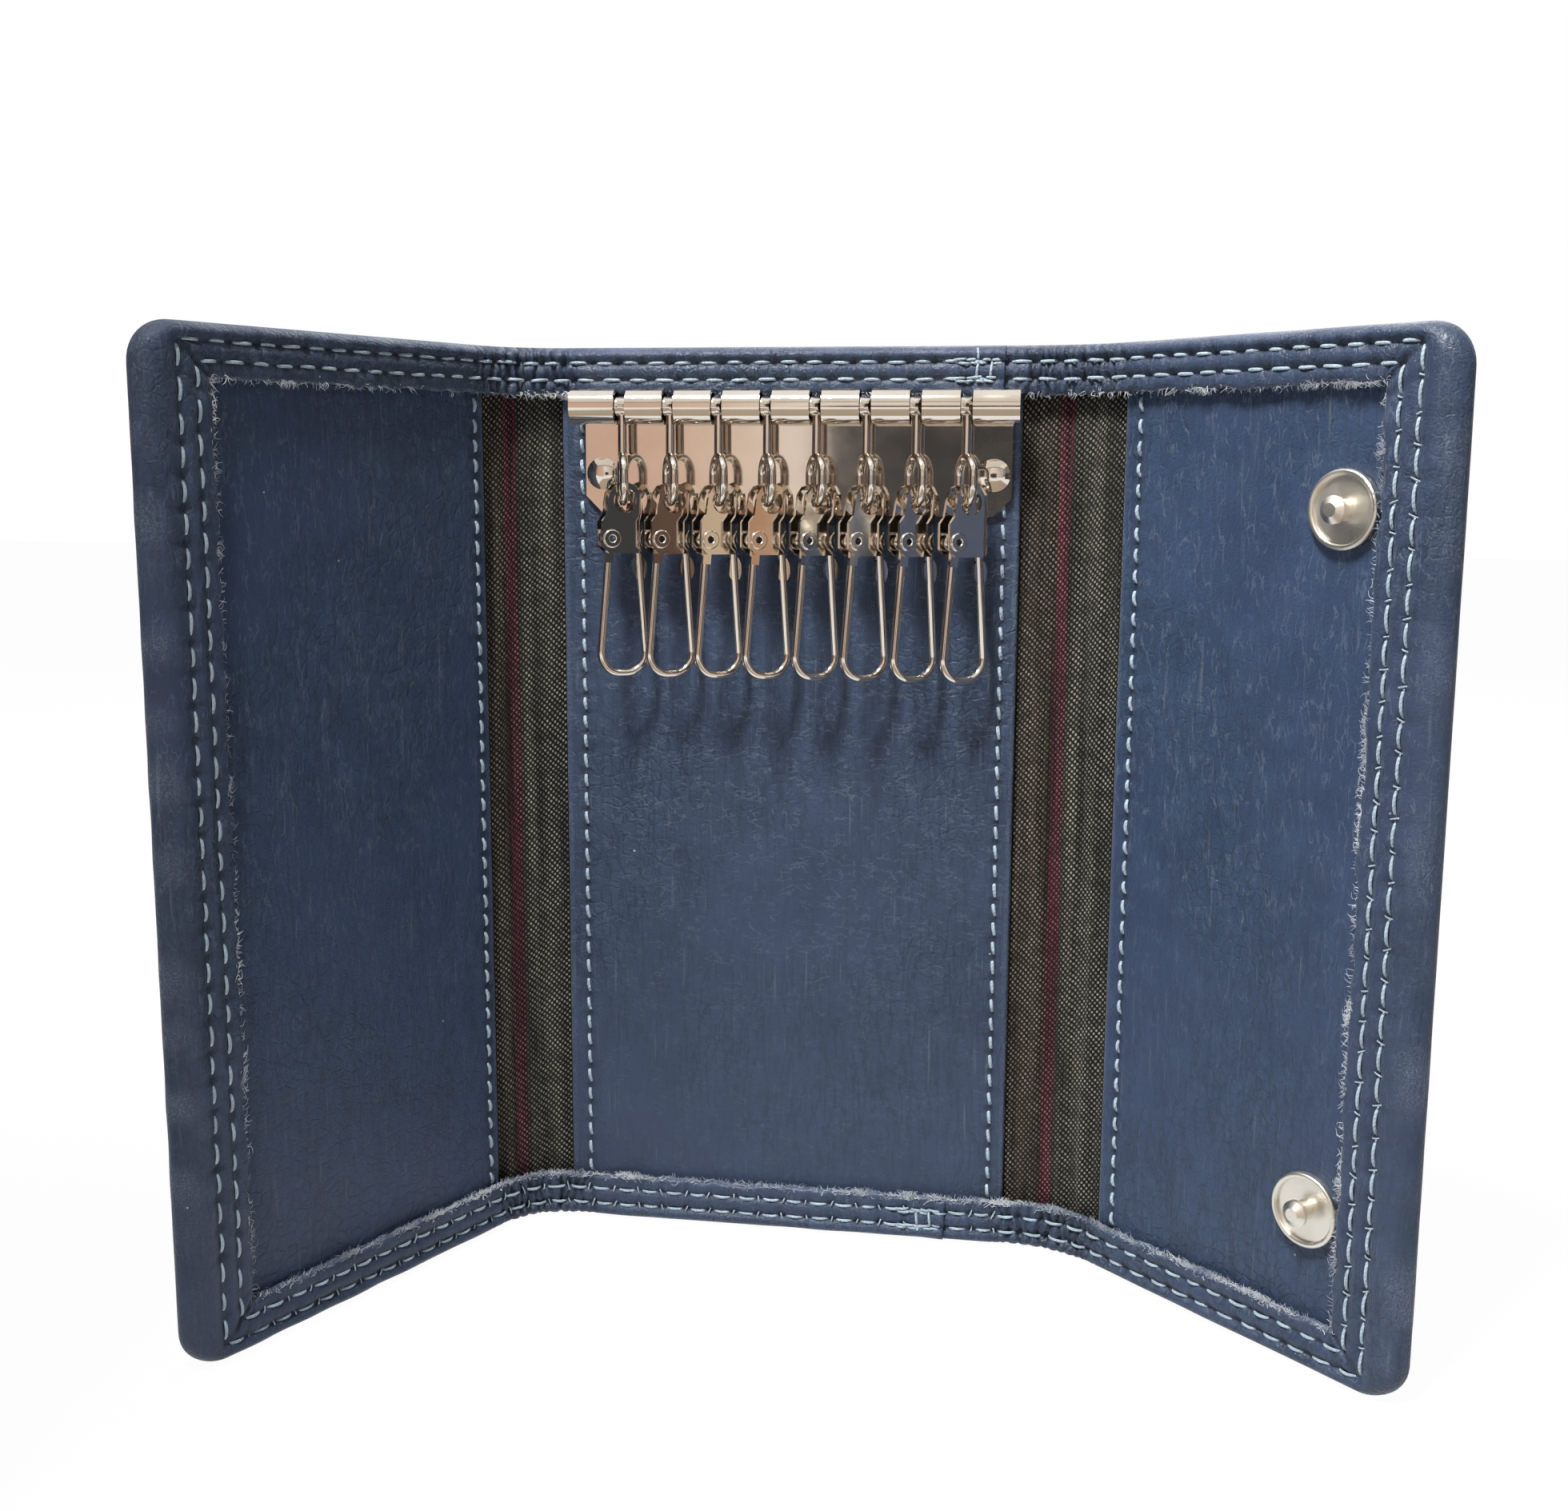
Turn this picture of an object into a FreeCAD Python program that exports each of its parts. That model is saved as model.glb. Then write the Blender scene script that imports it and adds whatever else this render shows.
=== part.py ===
"""A tri-fold leather key case with an eight-hook key rail, two press snaps and turned, twice-stitched hems.

Frame: millimetres, +Z up. The case stands open on its lower hems. The centre panel faces -Y, its inner
leather face lies in the plane Y = 0 before the final shift, and both wings swing forward about upright axes.
"""
import FreeCAD, Part
import math
import os

import Sketcher

doc = FreeCAD.newDocument("key_case")
sheet = doc.addObject("Spreadsheet::Sheet", "Dims")

# How far each clip faces to the right, in degrees, hook by hook from the left
CLIP_TURNS = [31.0, 36.5, 39.0, 37.0, 39.5, 36.5, 38.5, 37.5]
RING_LAG = 12.0
REST_SWING = 1.6
COUNT = len(CLIP_TURNS)

# Driving sizes
SIZES = [
    ("case_height", 115.0),
    ("centre_width", 57.7),
    ("left_wing_length", 48.6),
    ("right_wing_length", 43.9),
    ("left_fold_half", 4.5),
    ("right_fold_half", 3.9),
    ("left_rest_angle", 64.0),
    ("right_rest_angle", 43.5),
    ("left_axis_depth", 4.2),
    ("snap_space", 3.2),
    ("cover_leather", 1.2),
    ("panel_leather", 1.0),
    ("lining_cloth", 0.3),
    ("hem_width", 6.2),
    ("side_hem_width", 8.9),
    ("corner_round", 4.8),
    ("edge_round", 1.5),
    ("fold_lift", 0.3),
    ("tuck_clearance", 0.15),
    ("overrun", 1.0),
    # Rail
    ("rail_drop", 7.4),
    ("rail_reach", 3.2),
    ("barrel_diameter", 4.4),
    ("barrel_wall", 0.5),
    ("barrel_length", 55.4),
    ("plate_length", 53.6),
    ("plate_thickness", 0.6),
    ("plate_drop", 13.2),
    ("plate_corner", 2.2),
    ("neck_height", 1.8),
    ("hook_margin", 5.45),
    ("slot_width", 1.5),
    ("rivet_inset", 2.2),
    ("rivet_drop", 8.2),
    ("rivet_head_diameter", 4.0),
    ("rivet_head_height", 0.75),
    ("rivet_shank_diameter", 2.2),
    ("rivet_clearance", 0.1),
    # Links
    ("head_diameter", 2.4),
    ("head_straight", 1.4),
    ("link_wire", 1.1),
    ("ring_width", 5.6),
    ("ring_height", 6.7),
    ("ring_drop", 12.2),
    # Clips
    ("clip_width", 6.0),
    ("clip_depth", 2.65),
    ("clip_plate", 0.45),
    ("clip_rise", 2.3),
    ("clip_drop", 6.4),
    ("clip_dome", 2.1),
    ("clip_shoulder_drop", 2.4),
    ("clip_corner", 0.9),
    ("strap_round", 1.25),
    ("eyehole_diameter", 3.0),
    ("eyehole_rise", 0.1),
    ("pivot_inset", 1.25),
    ("pivot_drop", 4.6),
    # Hollow clip rivets
    ("pivot_diameter", 1.2),
    ("pivot_bore", 0.75),
    ("pivot_head_diameter", 2.3),
    ("pivot_head_height", 0.25),
    ("pivot_clearance", 0.1),
    # Torsion springs
    ("spring_wire", 0.28),
    ("spring_radius", 0.98),
    ("spring_pitch", 0.72),
    ("spring_leg", 1.1),
    ("spring_gap", 0.12),
    # Bows
    ("bow_wire", 1.0),
    ("bow_top_half", 1.85),
    ("bow_bottom_half", 3.1),
    ("bow_drop", 21.4),
    ("bow_round", 2.5),
    ("bow_end_drop", 5.1),
    ("eye_diameter", 2.6),
    ("eye_thickness", 0.5),
    ("eye_neck", 1.1),
    ("eye_gap", 0.075),
    ("neck_reach", 2.0),
    ("leaf_length", 3.2),
    ("leaf_width", 1.9),
    ("leaf_thickness", 0.5),
    ("leaf_drop", 8.2),
    # Snaps
    ("snap_tip_inset", 13.4),
    ("snap_rise", 18.3),
    ("snap_drop", 18.9),
    ("stud_diameter", 8.6),
    ("stud_height", 0.9),
    ("stud_floor", 0.4),
    ("stud_rim", 0.7),
    ("ball_diameter", 3.0),
    ("ball_waist", 2.3),
    ("ball_reach", 2.9),
    ("socket_diameter", 8.8),
    ("socket_height", 1.9),
    ("socket_rim", 0.8),
    ("socket_bore", 3.7),
    ("socket_floor", 0.9),
    ("eyelet_diameter", 7.2),
    ("eyelet_bore", 2.4),
    ("snap_shank", 2.3),
    ("snap_clearance", 0.1),
]
DERIVED = [
    ("stack", "=panel_leather + lining_cloth + cover_leather"),
    ("right_axis_depth", "=(2 * left_axis_depth + stack + snap_space) / 2"),
    ("rail_height", "=case_height - rail_drop"),
    ("clip_gap", "=clip_depth - 2 * clip_plate"),
    ("rear_shift", "=(cover_leather - stack) / 2"),
    ("rivet_spacing", "=plate_length - 2 * rivet_inset"),
    ("hook_pitch", "=(plate_length - 2 * hook_margin) / %d" % (COUNT - 1)),
    ("snap_high", "=case_height - snap_drop"),
]
row = 0
for alias, value in SIZES:
    row += 1
    sheet.set("A%d" % row, alias)
    sheet.set("B%d" % row, repr(value))
    sheet.setAlias("B%d" % row, alias)
doc.recompute()
for alias, formula in DERIVED:
    row += 1
    sheet.set("A%d" % row, alias)
    sheet.set("B%d" % row, formula)
    sheet.setAlias("B%d" % row, alias)
doc.recompute()

VECTOR = FreeCAD.Vector
UP = VECTOR(0, 0, 1)
ACROSS = VECTOR(1, 0, 0)
OUTWARD = VECTOR(0, -1, 0)


def val(name):
    """A size from the sheet."""
    return float(sheet.get(name))


def plane(body, role):
    """One of a body's own origin planes."""
    return [f for f in body.Origin.OriginFeatures if f.Role == role][0]


def new_body(name):
    body = doc.addObject("PartDesign::Body", name)
    body.Label = name
    return body


def new_sketch(body, name, role, offset=None):
    """A sketch on an origin plane of its body, moved along the plane's normal by an expression."""
    sk = body.newObject("Sketcher::SketchObject", name)
    sk.AttachmentSupport = [(plane(body, role), "")]
    sk.MapMode = "FlatFace"
    if offset is not None:
        sk.setExpression("AttachmentOffset.Base.z", offset)
    doc.recompute()
    return sk


def e(text):
    """Sheet names inside an expression, written with the sheet's name in front."""
    out = []
    word = ""
    for ch in text + " ":
        if ch.isalnum() or ch == "_":
            word += ch
            continue
        if word and not word[0].isdigit() and word not in ("tan", "sin", "cos", "sqrt", "deg"):
            word = "Dims." + word
        out.append(word + ch)
        word = ""
    return "".join(out).strip()


def pin(sk, kind, geo, point, text):
    """Holds one point of a sketch at an expression's distance from the sketch's origin."""
    number = float(sk.evalExpression(e(text)))
    if number == 0:
        axis = -2 if kind == "DistanceX" else -1
        sk.addConstraint(Sketcher.Constraint("PointOnObject", geo, point, axis))
        return
    index = sk.addConstraint(Sketcher.Constraint(kind, -1, 1, geo, point, number))
    sk.setExpression("Constraints[%d]" % index, e(text))


def polygon(sk, points):
    """A closed outline whose corners are pairs of expressions."""
    spots = [VECTOR(float(sk.evalExpression(e(a))), float(sk.evalExpression(e(b))), 0) for a, b in points]
    first = sk.GeometryCount
    count = len(spots)
    for i in range(count):
        sk.addGeometry(Part.LineSegment(spots[i], spots[(i + 1) % count]))
    for i in range(count):
        sk.addConstraint(Sketcher.Constraint("Coincident", first + i, 2, first + (i + 1) % count, 1))
    for i, (a, b) in enumerate(points):
        pin(sk, "DistanceX", first + i, 1, a)
        pin(sk, "DistanceY", first + i, 1, b)


def circle(sk, x, y, diameter):
    """A circle whose centre and diameter are expressions."""
    spot = VECTOR(float(sk.evalExpression(e(x))), float(sk.evalExpression(e(y))), 0)
    radius = float(sk.evalExpression(e(diameter))) / 2
    geo = sk.addGeometry(Part.Circle(spot, UP, radius))
    pin(sk, "DistanceX", geo, 3, x)
    pin(sk, "DistanceY", geo, 3, y)
    index = sk.addConstraint(Sketcher.Constraint("Diameter", geo, 2 * radius))
    sk.setExpression("Constraints[%d]" % index, e(diameter))


def pad(body, sk, name, length, back=False):
    feature = body.newObject("PartDesign::Pad", name)
    feature.Profile = sk
    feature.setExpression("Length", e(length))
    feature.Reversed = back
    doc.recompute()
    return feature


def pocket(body, sk, name, length, back=False):
    """A pocket, which has to take something away."""
    before = body.Shape.Volume
    feature = body.newObject("PartDesign::Pocket", name)
    feature.Profile = sk
    feature.setExpression("Length", e(length))
    feature.Reversed = back
    doc.recompute()
    if not body.Shape.Volume < before:
        raise RuntimeError("pocket cuts nothing: " + name)
    return feature


def fillet(body, base, name, radius, test):
    """A fillet on the edges of the base feature that pass a test."""
    names = ["Edge%d" % (i + 1) for i, edge in enumerate(base.Shape.Edges) if test(edge)]
    feature = body.newObject("PartDesign::Fillet", name)
    feature.Base = (base, names)
    feature.setExpression("Radius", e(radius))
    doc.recompute()
    return feature


def middle(edge):
    return edge.valueAt((edge.FirstParameter + edge.LastParameter) / 2)


def along(edge, direction):
    """Whether a straight edge runs along a direction."""
    if edge.Curve.TypeId != "Part::GeomLine":
        return False
    return abs(edge.tangentAt(edge.FirstParameter).dot(direction)) > 1 - NEAR


def close(a, b):
    return abs(a - b) < NEAR


NEAR = 1e-4

# Leather sheets that lie in a wing's or the centre's own flat frame
# x runs from the fold to the free edge, or across the centre, and z is up


def outline(side):
    """The flat outline's two ends along x and their signs, as expressions."""
    if side == "centre":
        return "-centre_width / 2", "centre_width / 2"
    sign = "-" if side == "left" else ""
    fold = "%s%s_fold_half" % (sign, side)
    tip = "%s(%s_fold_half + %s_wing_length)" % (sign, side, side)
    return fold, tip


def inset(side, amount):
    """The free end of the outline, drawn in by an amount."""
    if side == "centre":
        return "centre_width / 2"
    if side == "left":
        return "-(left_fold_half + left_wing_length - (%s))" % amount
    return "right_fold_half + right_wing_length - (%s)" % amount


def box(sk, x0, x1, z0, z1):
    polygon(sk, [(x0, z0), (x1, z0), (x1, z1), (x0, z1)])


def tab(sk, x0, x1, z0, z1, radius, way):
    """A rectangle whose two corners at x1 are rounded. Way is the sign of x1 less x0, as text."""
    inner = "%s %s (%s)" % (x1, "-" if way == "+" else "+", radius)
    low = "%s + %s" % (z0, radius)
    high = "%s - (%s)" % (z1, radius)
    spots = [(x0, z0), (inner, z0), (x1, low), (x1, high), (inner, z1), (x0, z1)]
    flat = [VECTOR(float(sk.evalExpression(e(a))), float(sk.evalExpression(e(b))), 0) for a, b in spots]
    size = float(sk.evalExpression(e(radius)))
    count = len(spots)
    ends = []
    for i in range(count):
        a = flat[i]
        b = flat[(i + 1) % count]
        if i in (1, 3):
            centre = VECTOR(flat[1].x, flat[2].y if i == 1 else flat[3].y, 0)
            ahead = way == "+"
            spot = (a if ahead else b) - centre
            start = math.atan2(spot.y, spot.x)
            round_edge = Part.Circle(centre, UP, size)
            geo = sk.addGeometry(Part.ArcOfCircle(round_edge, start, start + math.pi / 2))
            index = sk.addConstraint(Sketcher.Constraint("Radius", geo, size))
            sk.setExpression("Constraints[%d]" % index, e(radius))
            ends.append((geo, 1, 2) if ahead else (geo, 2, 1))
        else:
            geo = sk.addGeometry(Part.LineSegment(a, b))
            ends.append((geo, 1, 2))
    for i in range(count):
        following = ends[(i + 1) % count]
        sk.addConstraint(Sketcher.Constraint("Coincident", ends[i][0], ends[i][2], following[0], following[1]))
    for i, (a, b) in enumerate(spots):
        pin(sk, "DistanceX", ends[i][0], ends[i][1], a)
        pin(sk, "DistanceY", ends[i][0], ends[i][1], b)


def rounded_ends(body, base, name, side, reach, radius):
    """Rounds the two free corners of a wing sheet, on edges along Y at the free end."""
    tip = float(sheet.evalExpression(e(reach)))

    def test(edge):
        return along(edge, OUTWARD) and close(middle(edge).x, tip)

    return fillet(body, base, name, radius, test)


def cover(side):
    """Outer leather with its hem turned over the inner layers: an open tray with rolled edges."""
    fold, tip = outline(side)
    name = side + "_cover"
    body = new_body(name)
    sk = new_sketch(body, name + "_outline", "XZ_Plane", e("-stack"))
    box(sk, fold, tip, "0", "case_height")
    last = pad(body, sk, name + "_blank", "stack + cover_leather")
    if side != "centre":
        last = rounded_ends(body, last, name + "_corners", side, tip, "corner_round")
    ends = float(sheet.evalExpression(e(fold)))
    faces = (-val("cover_leather"), val("stack"))

    def rim(edge):
        spot = middle(edge)
        on_face = close(spot.y, faces[0]) or close(spot.y, faces[1])
        at_fold = along(edge, UP) and (close(spot.x, ends) or side == "centre")
        return on_face and not at_fold

    last = fillet(body, last, name + "_roll", "edge_round", rim)
    sk = new_sketch(body, name + "_window", "XZ_Plane", e("cover_leather"))
    box(sk, fold, inset(side, "side_hem_width"), "hem_width", "case_height - hem_width")
    last = pocket(body, sk, name + "_opening", "cover_leather")
    sk = new_sketch(body, name + "_inside", "XZ_Plane")
    reach = inset(side, "cover_leather")
    if side == "centre":
        box(sk, fold, reach, "cover_leather", "case_height - cover_leather")
    else:
        way = "-" if side == "left" else "+"
        tab(sk, fold, reach, "cover_leather", "case_height - cover_leather", "corner_round - cover_leather", way)
    pocket(body, sk, name + "_sleeve", "panel_leather + lining_cloth")
    return body


def sheet_layer(side, kind, front, thickness):
    """A flat layer tucked under the hem: the inner leather panel or the lining."""
    fold, tip = outline(side)
    name = "%s_%s" % (side, kind)
    body = new_body(name)
    sk = new_sketch(body, name + "_outline", "XZ_Plane", e("-(%s + %s)" % (front, thickness)))
    edge = "cover_leather + tuck_clearance"
    reach = inset(side, edge)
    box(sk, fold, reach, edge, "case_height - %s" % edge.replace("+", "-"))
    last = pad(body, sk, name + "_sheet", thickness)
    if side != "centre":
        rounded_ends(body, last, name + "_corners", side, reach, "corner_round - cover_leather - tuck_clearance")
    return body


def fold_profile(name, side, points):
    """A fold strip: a profile turned about the upright line through the bend's centre."""
    body = new_body(name)
    sk = new_sketch(body, name + "_profile", "YZ_Plane")
    polygon(sk, points)
    half = "%s_rest_angle / 2 * 1 deg" % side
    bend = "-(%s_fold_half / tan(%s) + %s_axis_depth)" % (side, half, side)
    spot = float(sheet.evalExpression(e(bend)))
    line = sk.addGeometry(Part.LineSegment(VECTOR(spot, 0, 0), VECTOR(spot, val("case_height"), 0)), True)
    pin(sk, "DistanceX", line, 1, bend)
    pin(sk, "DistanceX", line, 2, bend)
    pin(sk, "DistanceY", line, 1, "0")
    pin(sk, "DistanceY", line, 2, "case_height")
    feature = body.newObject("PartDesign::Revolution", name + "_bend")
    feature.Profile = sk
    feature.ReferenceAxis = (sk, ["Axis0"])
    feature.setExpression("Angle", e("%s_rest_angle" % side))
    feature.Reversed = side == "right"
    doc.recompute()
    return body, feature


def fold_cover(side):
    """The bend's outer leather, with its hem pressed down on the lining."""
    low = "fold_lift"
    high = "case_height - fold_lift"
    back = "stack"
    face = "-cover_leather"
    step = "panel_leather"
    bed = "panel_leather + lining_cloth"
    wall = "cover_leather"
    points = [
        (back, low),
        (back, high),
        (face, high),
        (face, "case_height - hem_width"),
        (step, "case_height - hem_width"),
        (step, "case_height - %s" % wall),
        (bed, "case_height - %s" % wall),
        (bed, wall),
        (step, wall),
        (step, "hem_width"),
        (face, "hem_width"),
        (face, low),
    ]
    name = side + "_fold_cover"
    body, bend = fold_profile(name, side, points)
    low_z = val("fold_lift")
    high_z = val("case_height") - val("fold_lift")

    def rim(edge):
        spot = middle(edge)
        level = close(spot.z, low_z) or close(spot.z, high_z)
        return level and edge.Curve.TypeId == "Part::GeomCircle"

    fillet(body, bend, name + "_roll", "edge_round", rim)
    return body


def fold_lining(side):
    """The cloth that shows between the inner panels."""
    edge = "cover_leather + tuck_clearance"
    top = "case_height - cover_leather - tuck_clearance"
    bed = "panel_leather + lining_cloth"
    points = [("panel_leather", edge), (bed, edge), (bed, top), ("panel_leather", top)]
    return fold_profile(side + "_fold_lining", side, points)[0]


def holes(body, name, offset, depth, spots, diameter):
    """Round holes through a flat layer."""
    for i, (x, z) in enumerate(spots):
        sk = new_sketch(body, "%s_%d" % (name, i + 1), "XZ_Plane", e(offset))
        circle(sk, x, z, diameter)
        pocket(body, sk, "%s_cut_%d" % (name, i + 1), depth)


covers = {side: cover(side) for side in ("centre", "left", "right")}
panels = {s: sheet_layer(s, "panel", "0", "panel_leather") for s in ("centre", "left", "right")}
linings = {s: sheet_layer(s, "lining", "panel_leather", "lining_cloth") for s in ("centre", "left", "right")}
fold_covers = {side: fold_cover(side) for side in ("left", "right")}
fold_linings = {side: fold_lining(side) for side in ("left", "right")}

# Hook rail: a flat plate with a rolled, slotted barrel along its upper edge
rail = new_body("hook_rail")
sk = new_sketch(rail, "rail_plate_outline", "XZ_Plane")
polygon(sk, [
    ("-plate_length / 2", "rail_height"),
    ("-plate_length / 2", "rail_height - plate_drop + plate_corner"),
    ("-(plate_length / 2 - plate_corner)", "rail_height - plate_drop"),
    ("plate_length / 2 - plate_corner", "rail_height - plate_drop"),
    ("plate_length / 2", "rail_height - plate_drop + plate_corner"),
    ("plate_length / 2", "rail_height"),
])
pad(rail, sk, "rail_plate", "plate_thickness")
sk = new_sketch(rail, "rail_neck_outline", "XZ_Plane")
box(sk, "-plate_length / 2", "plate_length / 2", "rail_height - neck_height / 2", "rail_height + neck_height / 2")
pad(rail, sk, "rail_neck", "rail_reach - barrel_diameter / 2 + barrel_wall")
sk = new_sketch(rail, "rail_barrel_outline", "YZ_Plane", e("-barrel_length / 2"))
circle(sk, "-rail_reach", "rail_height", "barrel_diameter")
pad(rail, sk, "rail_barrel", "barrel_length")
sk = new_sketch(rail, "rail_bore_outline", "YZ_Plane", e("barrel_length / 2 + overrun"))
circle(sk, "-rail_reach", "rail_height", "barrel_diameter - 2 * barrel_wall")
pocket(rail, sk, "rail_bore", "barrel_length + 2 * overrun")
sk = new_sketch(rail, "rail_slot_outline", "XZ_Plane", e("plate_thickness"))
first = "hook_pitch * (%d - 1) / 2" % COUNT
box(
    sk,
    "-%s - slot_width / 2" % first,
    "-%s + slot_width / 2" % first,
    "rail_height - barrel_diameter / 2 - overrun",
    "rail_height + barrel_diameter / 2 + overrun",
)
slot = pocket(rail, sk, "rail_slot", "rail_reach - plate_thickness + barrel_diameter / 2 + overrun", True)
slots = rail.newObject("PartDesign::LinearPattern", "rail_slots")
slots.Originals = [slot]
slots.Direction = (sk, ["H_Axis"])
slots.setExpression("Length", e("hook_pitch * (%d - 1)" % COUNT))
slots.Occurrences = COUNT
rail.Tip = slots
doc.recompute()
rivet_spots = [
    ("-rivet_spacing / 2", "rail_height - rivet_drop"),
    ("rivet_spacing / 2", "rail_height - rivet_drop"),
]
rivet_hole = "rivet_shank_diameter + 2 * rivet_clearance"
holes(rail, "rail_rivet_hole", "plate_thickness", "plate_thickness", rivet_spots, rivet_hole)
holes(panels["centre"], "panel_rivet_hole", "0", "panel_leather", rivet_spots, rivet_hole)

# Snaps: studs on the right panel and sockets on the outside of the left cover
snap_hole = "snap_shank + 2 * snap_clearance"
eyelet_hole = "eyelet_diameter + 2 * snap_clearance"
STUD_X = "right_fold_half + right_wing_length - snap_tip_inset"
# Closed, the stud lies as far left of the right axis as it lies right of it when open
SOCKET_X = "-(centre_width + left_fold_half + right_fold_half - (%s))" % STUD_X
stud_spots = [(STUD_X, "snap_rise"), (STUD_X, "snap_high")]
socket_spots = [(SOCKET_X, "snap_rise"), (SOCKET_X, "snap_high")]
holes(panels["right"], "panel_snap_hole", "0", "panel_leather", stud_spots, snap_hole)
holes(linings["right"], "lining_stud_hole", "-panel_leather", "lining_cloth", stud_spots, eyelet_hole)
holes(linings["left"], "lining_socket_hole", "-panel_leather", "lining_cloth", socket_spots, eyelet_hole)
holes(covers["left"], "cover_socket_hole", "-(panel_leather + lining_cloth)", "cover_leather + overrun",
      socket_spots, snap_hole)


def turned(name, points, role="XZ_Plane"):
    """A turned piece: a half profile (radius, height) spun about the body's own Z axis."""
    body = new_body(name)
    sk = new_sketch(body, name + "_profile", role)
    polygon(sk, points)
    feature = body.newObject("PartDesign::Revolution", name + "_spin")
    feature.Profile = sk
    feature.ReferenceAxis = (sk, ["V_Axis"])
    feature.Angle = 360
    doc.recompute()
    return body, feature


def ring_edges(radius, height):
    """A test for the round edge of a turned piece at a radius and a height."""
    def test(edge):
        if edge.Curve.TypeId != "Part::GeomCircle":
            return False
        return close(edge.Curve.Radius, radius) and close(edge.Curve.Center.z, height)
    return test


rivet, spin = turned("rivet_master", [
    ("0", "-(plate_thickness + panel_leather)"),
    ("rivet_shank_diameter / 2", "-(plate_thickness + panel_leather)"),
    ("rivet_shank_diameter / 2", "0"),
    ("rivet_head_diameter / 2", "0"),
    ("rivet_head_diameter / 2", "rivet_head_height / 3"),
    ("rivet_head_diameter / 4", "rivet_head_height"),
    ("0", "rivet_head_height"),
])
dome_share = 0.85
fillet(rivet, spin, "rivet_dome", "rivet_head_diameter * %s" % repr(dome_share),
       ring_edges(val("rivet_head_diameter") / 4, val("rivet_head_height")))

stud, spin = turned("stud_master", [
    ("0", "-panel_leather"),
    ("snap_shank / 2", "-panel_leather"),
    ("snap_shank / 2", "0"),
    ("stud_diameter / 2", "0"),
    ("stud_diameter / 2", "stud_height"),
    ("stud_diameter / 2 - stud_rim", "stud_height"),
    ("stud_diameter / 2 - stud_rim", "stud_floor"),
    ("ball_waist / 2", "stud_floor"),
    ("ball_waist / 2", "ball_reach - ball_diameter / 2"),
    ("ball_diameter / 2", "ball_reach - ball_diameter / 3"),
    ("ball_diameter / 2", "ball_reach - ball_diameter / 6"),
    ("ball_diameter / 4", "ball_reach"),
    ("0", "ball_reach"),
])
rim_roll_share = 0.45
spin = fillet(stud, spin, "stud_rim_roll", "stud_rim * %s" % repr(rim_roll_share), lambda edge: (
    ring_edges(val("stud_diameter") / 2, val("stud_height"))(edge)
    or ring_edges(val("stud_diameter") / 2 - val("stud_rim"), val("stud_height"))(edge)))

socket, spin = turned("socket_master", [
    ("0", "-cover_leather"),
    ("snap_shank / 2", "-cover_leather"),
    ("snap_shank / 2", "-socket_floor"),
    ("snap_shank / 2", "0"),
    ("socket_diameter / 2", "0"),
    ("socket_diameter / 2", "socket_height * 0.6"),
    ("socket_diameter / 2 - socket_rim", "socket_height"),
    ("socket_bore / 2", "socket_height"),
    ("socket_bore / 2", "snap_space - ball_reach - 2 * snap_clearance"),
    ("0", "snap_space - ball_reach - 2 * snap_clearance"),
])

eyelet, spin = turned("eyelet_master", [
    ("eyelet_bore / 2", "0"),
    ("eyelet_diameter / 2", "0"),
    ("eyelet_diameter / 2", "lining_cloth"),
    ("eyelet_bore / 2", "lining_cloth"),
])

pivot, spin = turned("pivot_master", [
    ("pivot_bore / 2", "-(clip_depth / 2 + pivot_head_height)"),
    ("pivot_head_diameter / 2", "-(clip_depth / 2 + pivot_head_height)"),
    ("pivot_head_diameter / 2", "-clip_depth / 2"),
    ("pivot_diameter / 2", "-clip_depth / 2"),
    ("pivot_diameter / 2", "clip_depth / 2"),
    ("pivot_head_diameter / 2", "clip_depth / 2"),
    ("pivot_head_diameter / 2", "clip_depth / 2 + pivot_head_height"),
    ("pivot_bore / 2", "clip_depth / 2 + pivot_head_height"),
])
pivot_top = val("clip_depth") / 2 + val("pivot_head_height")
head_roll_share = 0.7
fillet(pivot, spin, "pivot_rolled_rims", "pivot_head_height * %s" % repr(head_roll_share), lambda edge: any(
    ring_edges(val(size) / 2, height)(edge)
    for size in ("pivot_head_diameter", "pivot_bore") for height in (pivot_top, -pivot_top)))

# Link: a rounded bar that rolls in the barrel, a stem through the slot and an upright oval ring
# The bar lies along the link's own X, the ring stands in its YZ plane


def primitive(kind, name, sizes, base, axis=None, angle=0.0):
    """A solid whose sizes and place are bound to the sheet."""
    part = doc.addObject(kind, name)
    for prop, text in sizes.items():
        part.setExpression(prop, e(text))
    if axis is not None:
        part.Placement = FreeCAD.Placement(VECTOR(0, 0, 0), FreeCAD.Rotation(axis, angle))
    for coord, text in zip("xyz", base):
        if text != "0":
            part.setExpression("Placement.Base." + coord, e(text))
    return part


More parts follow.
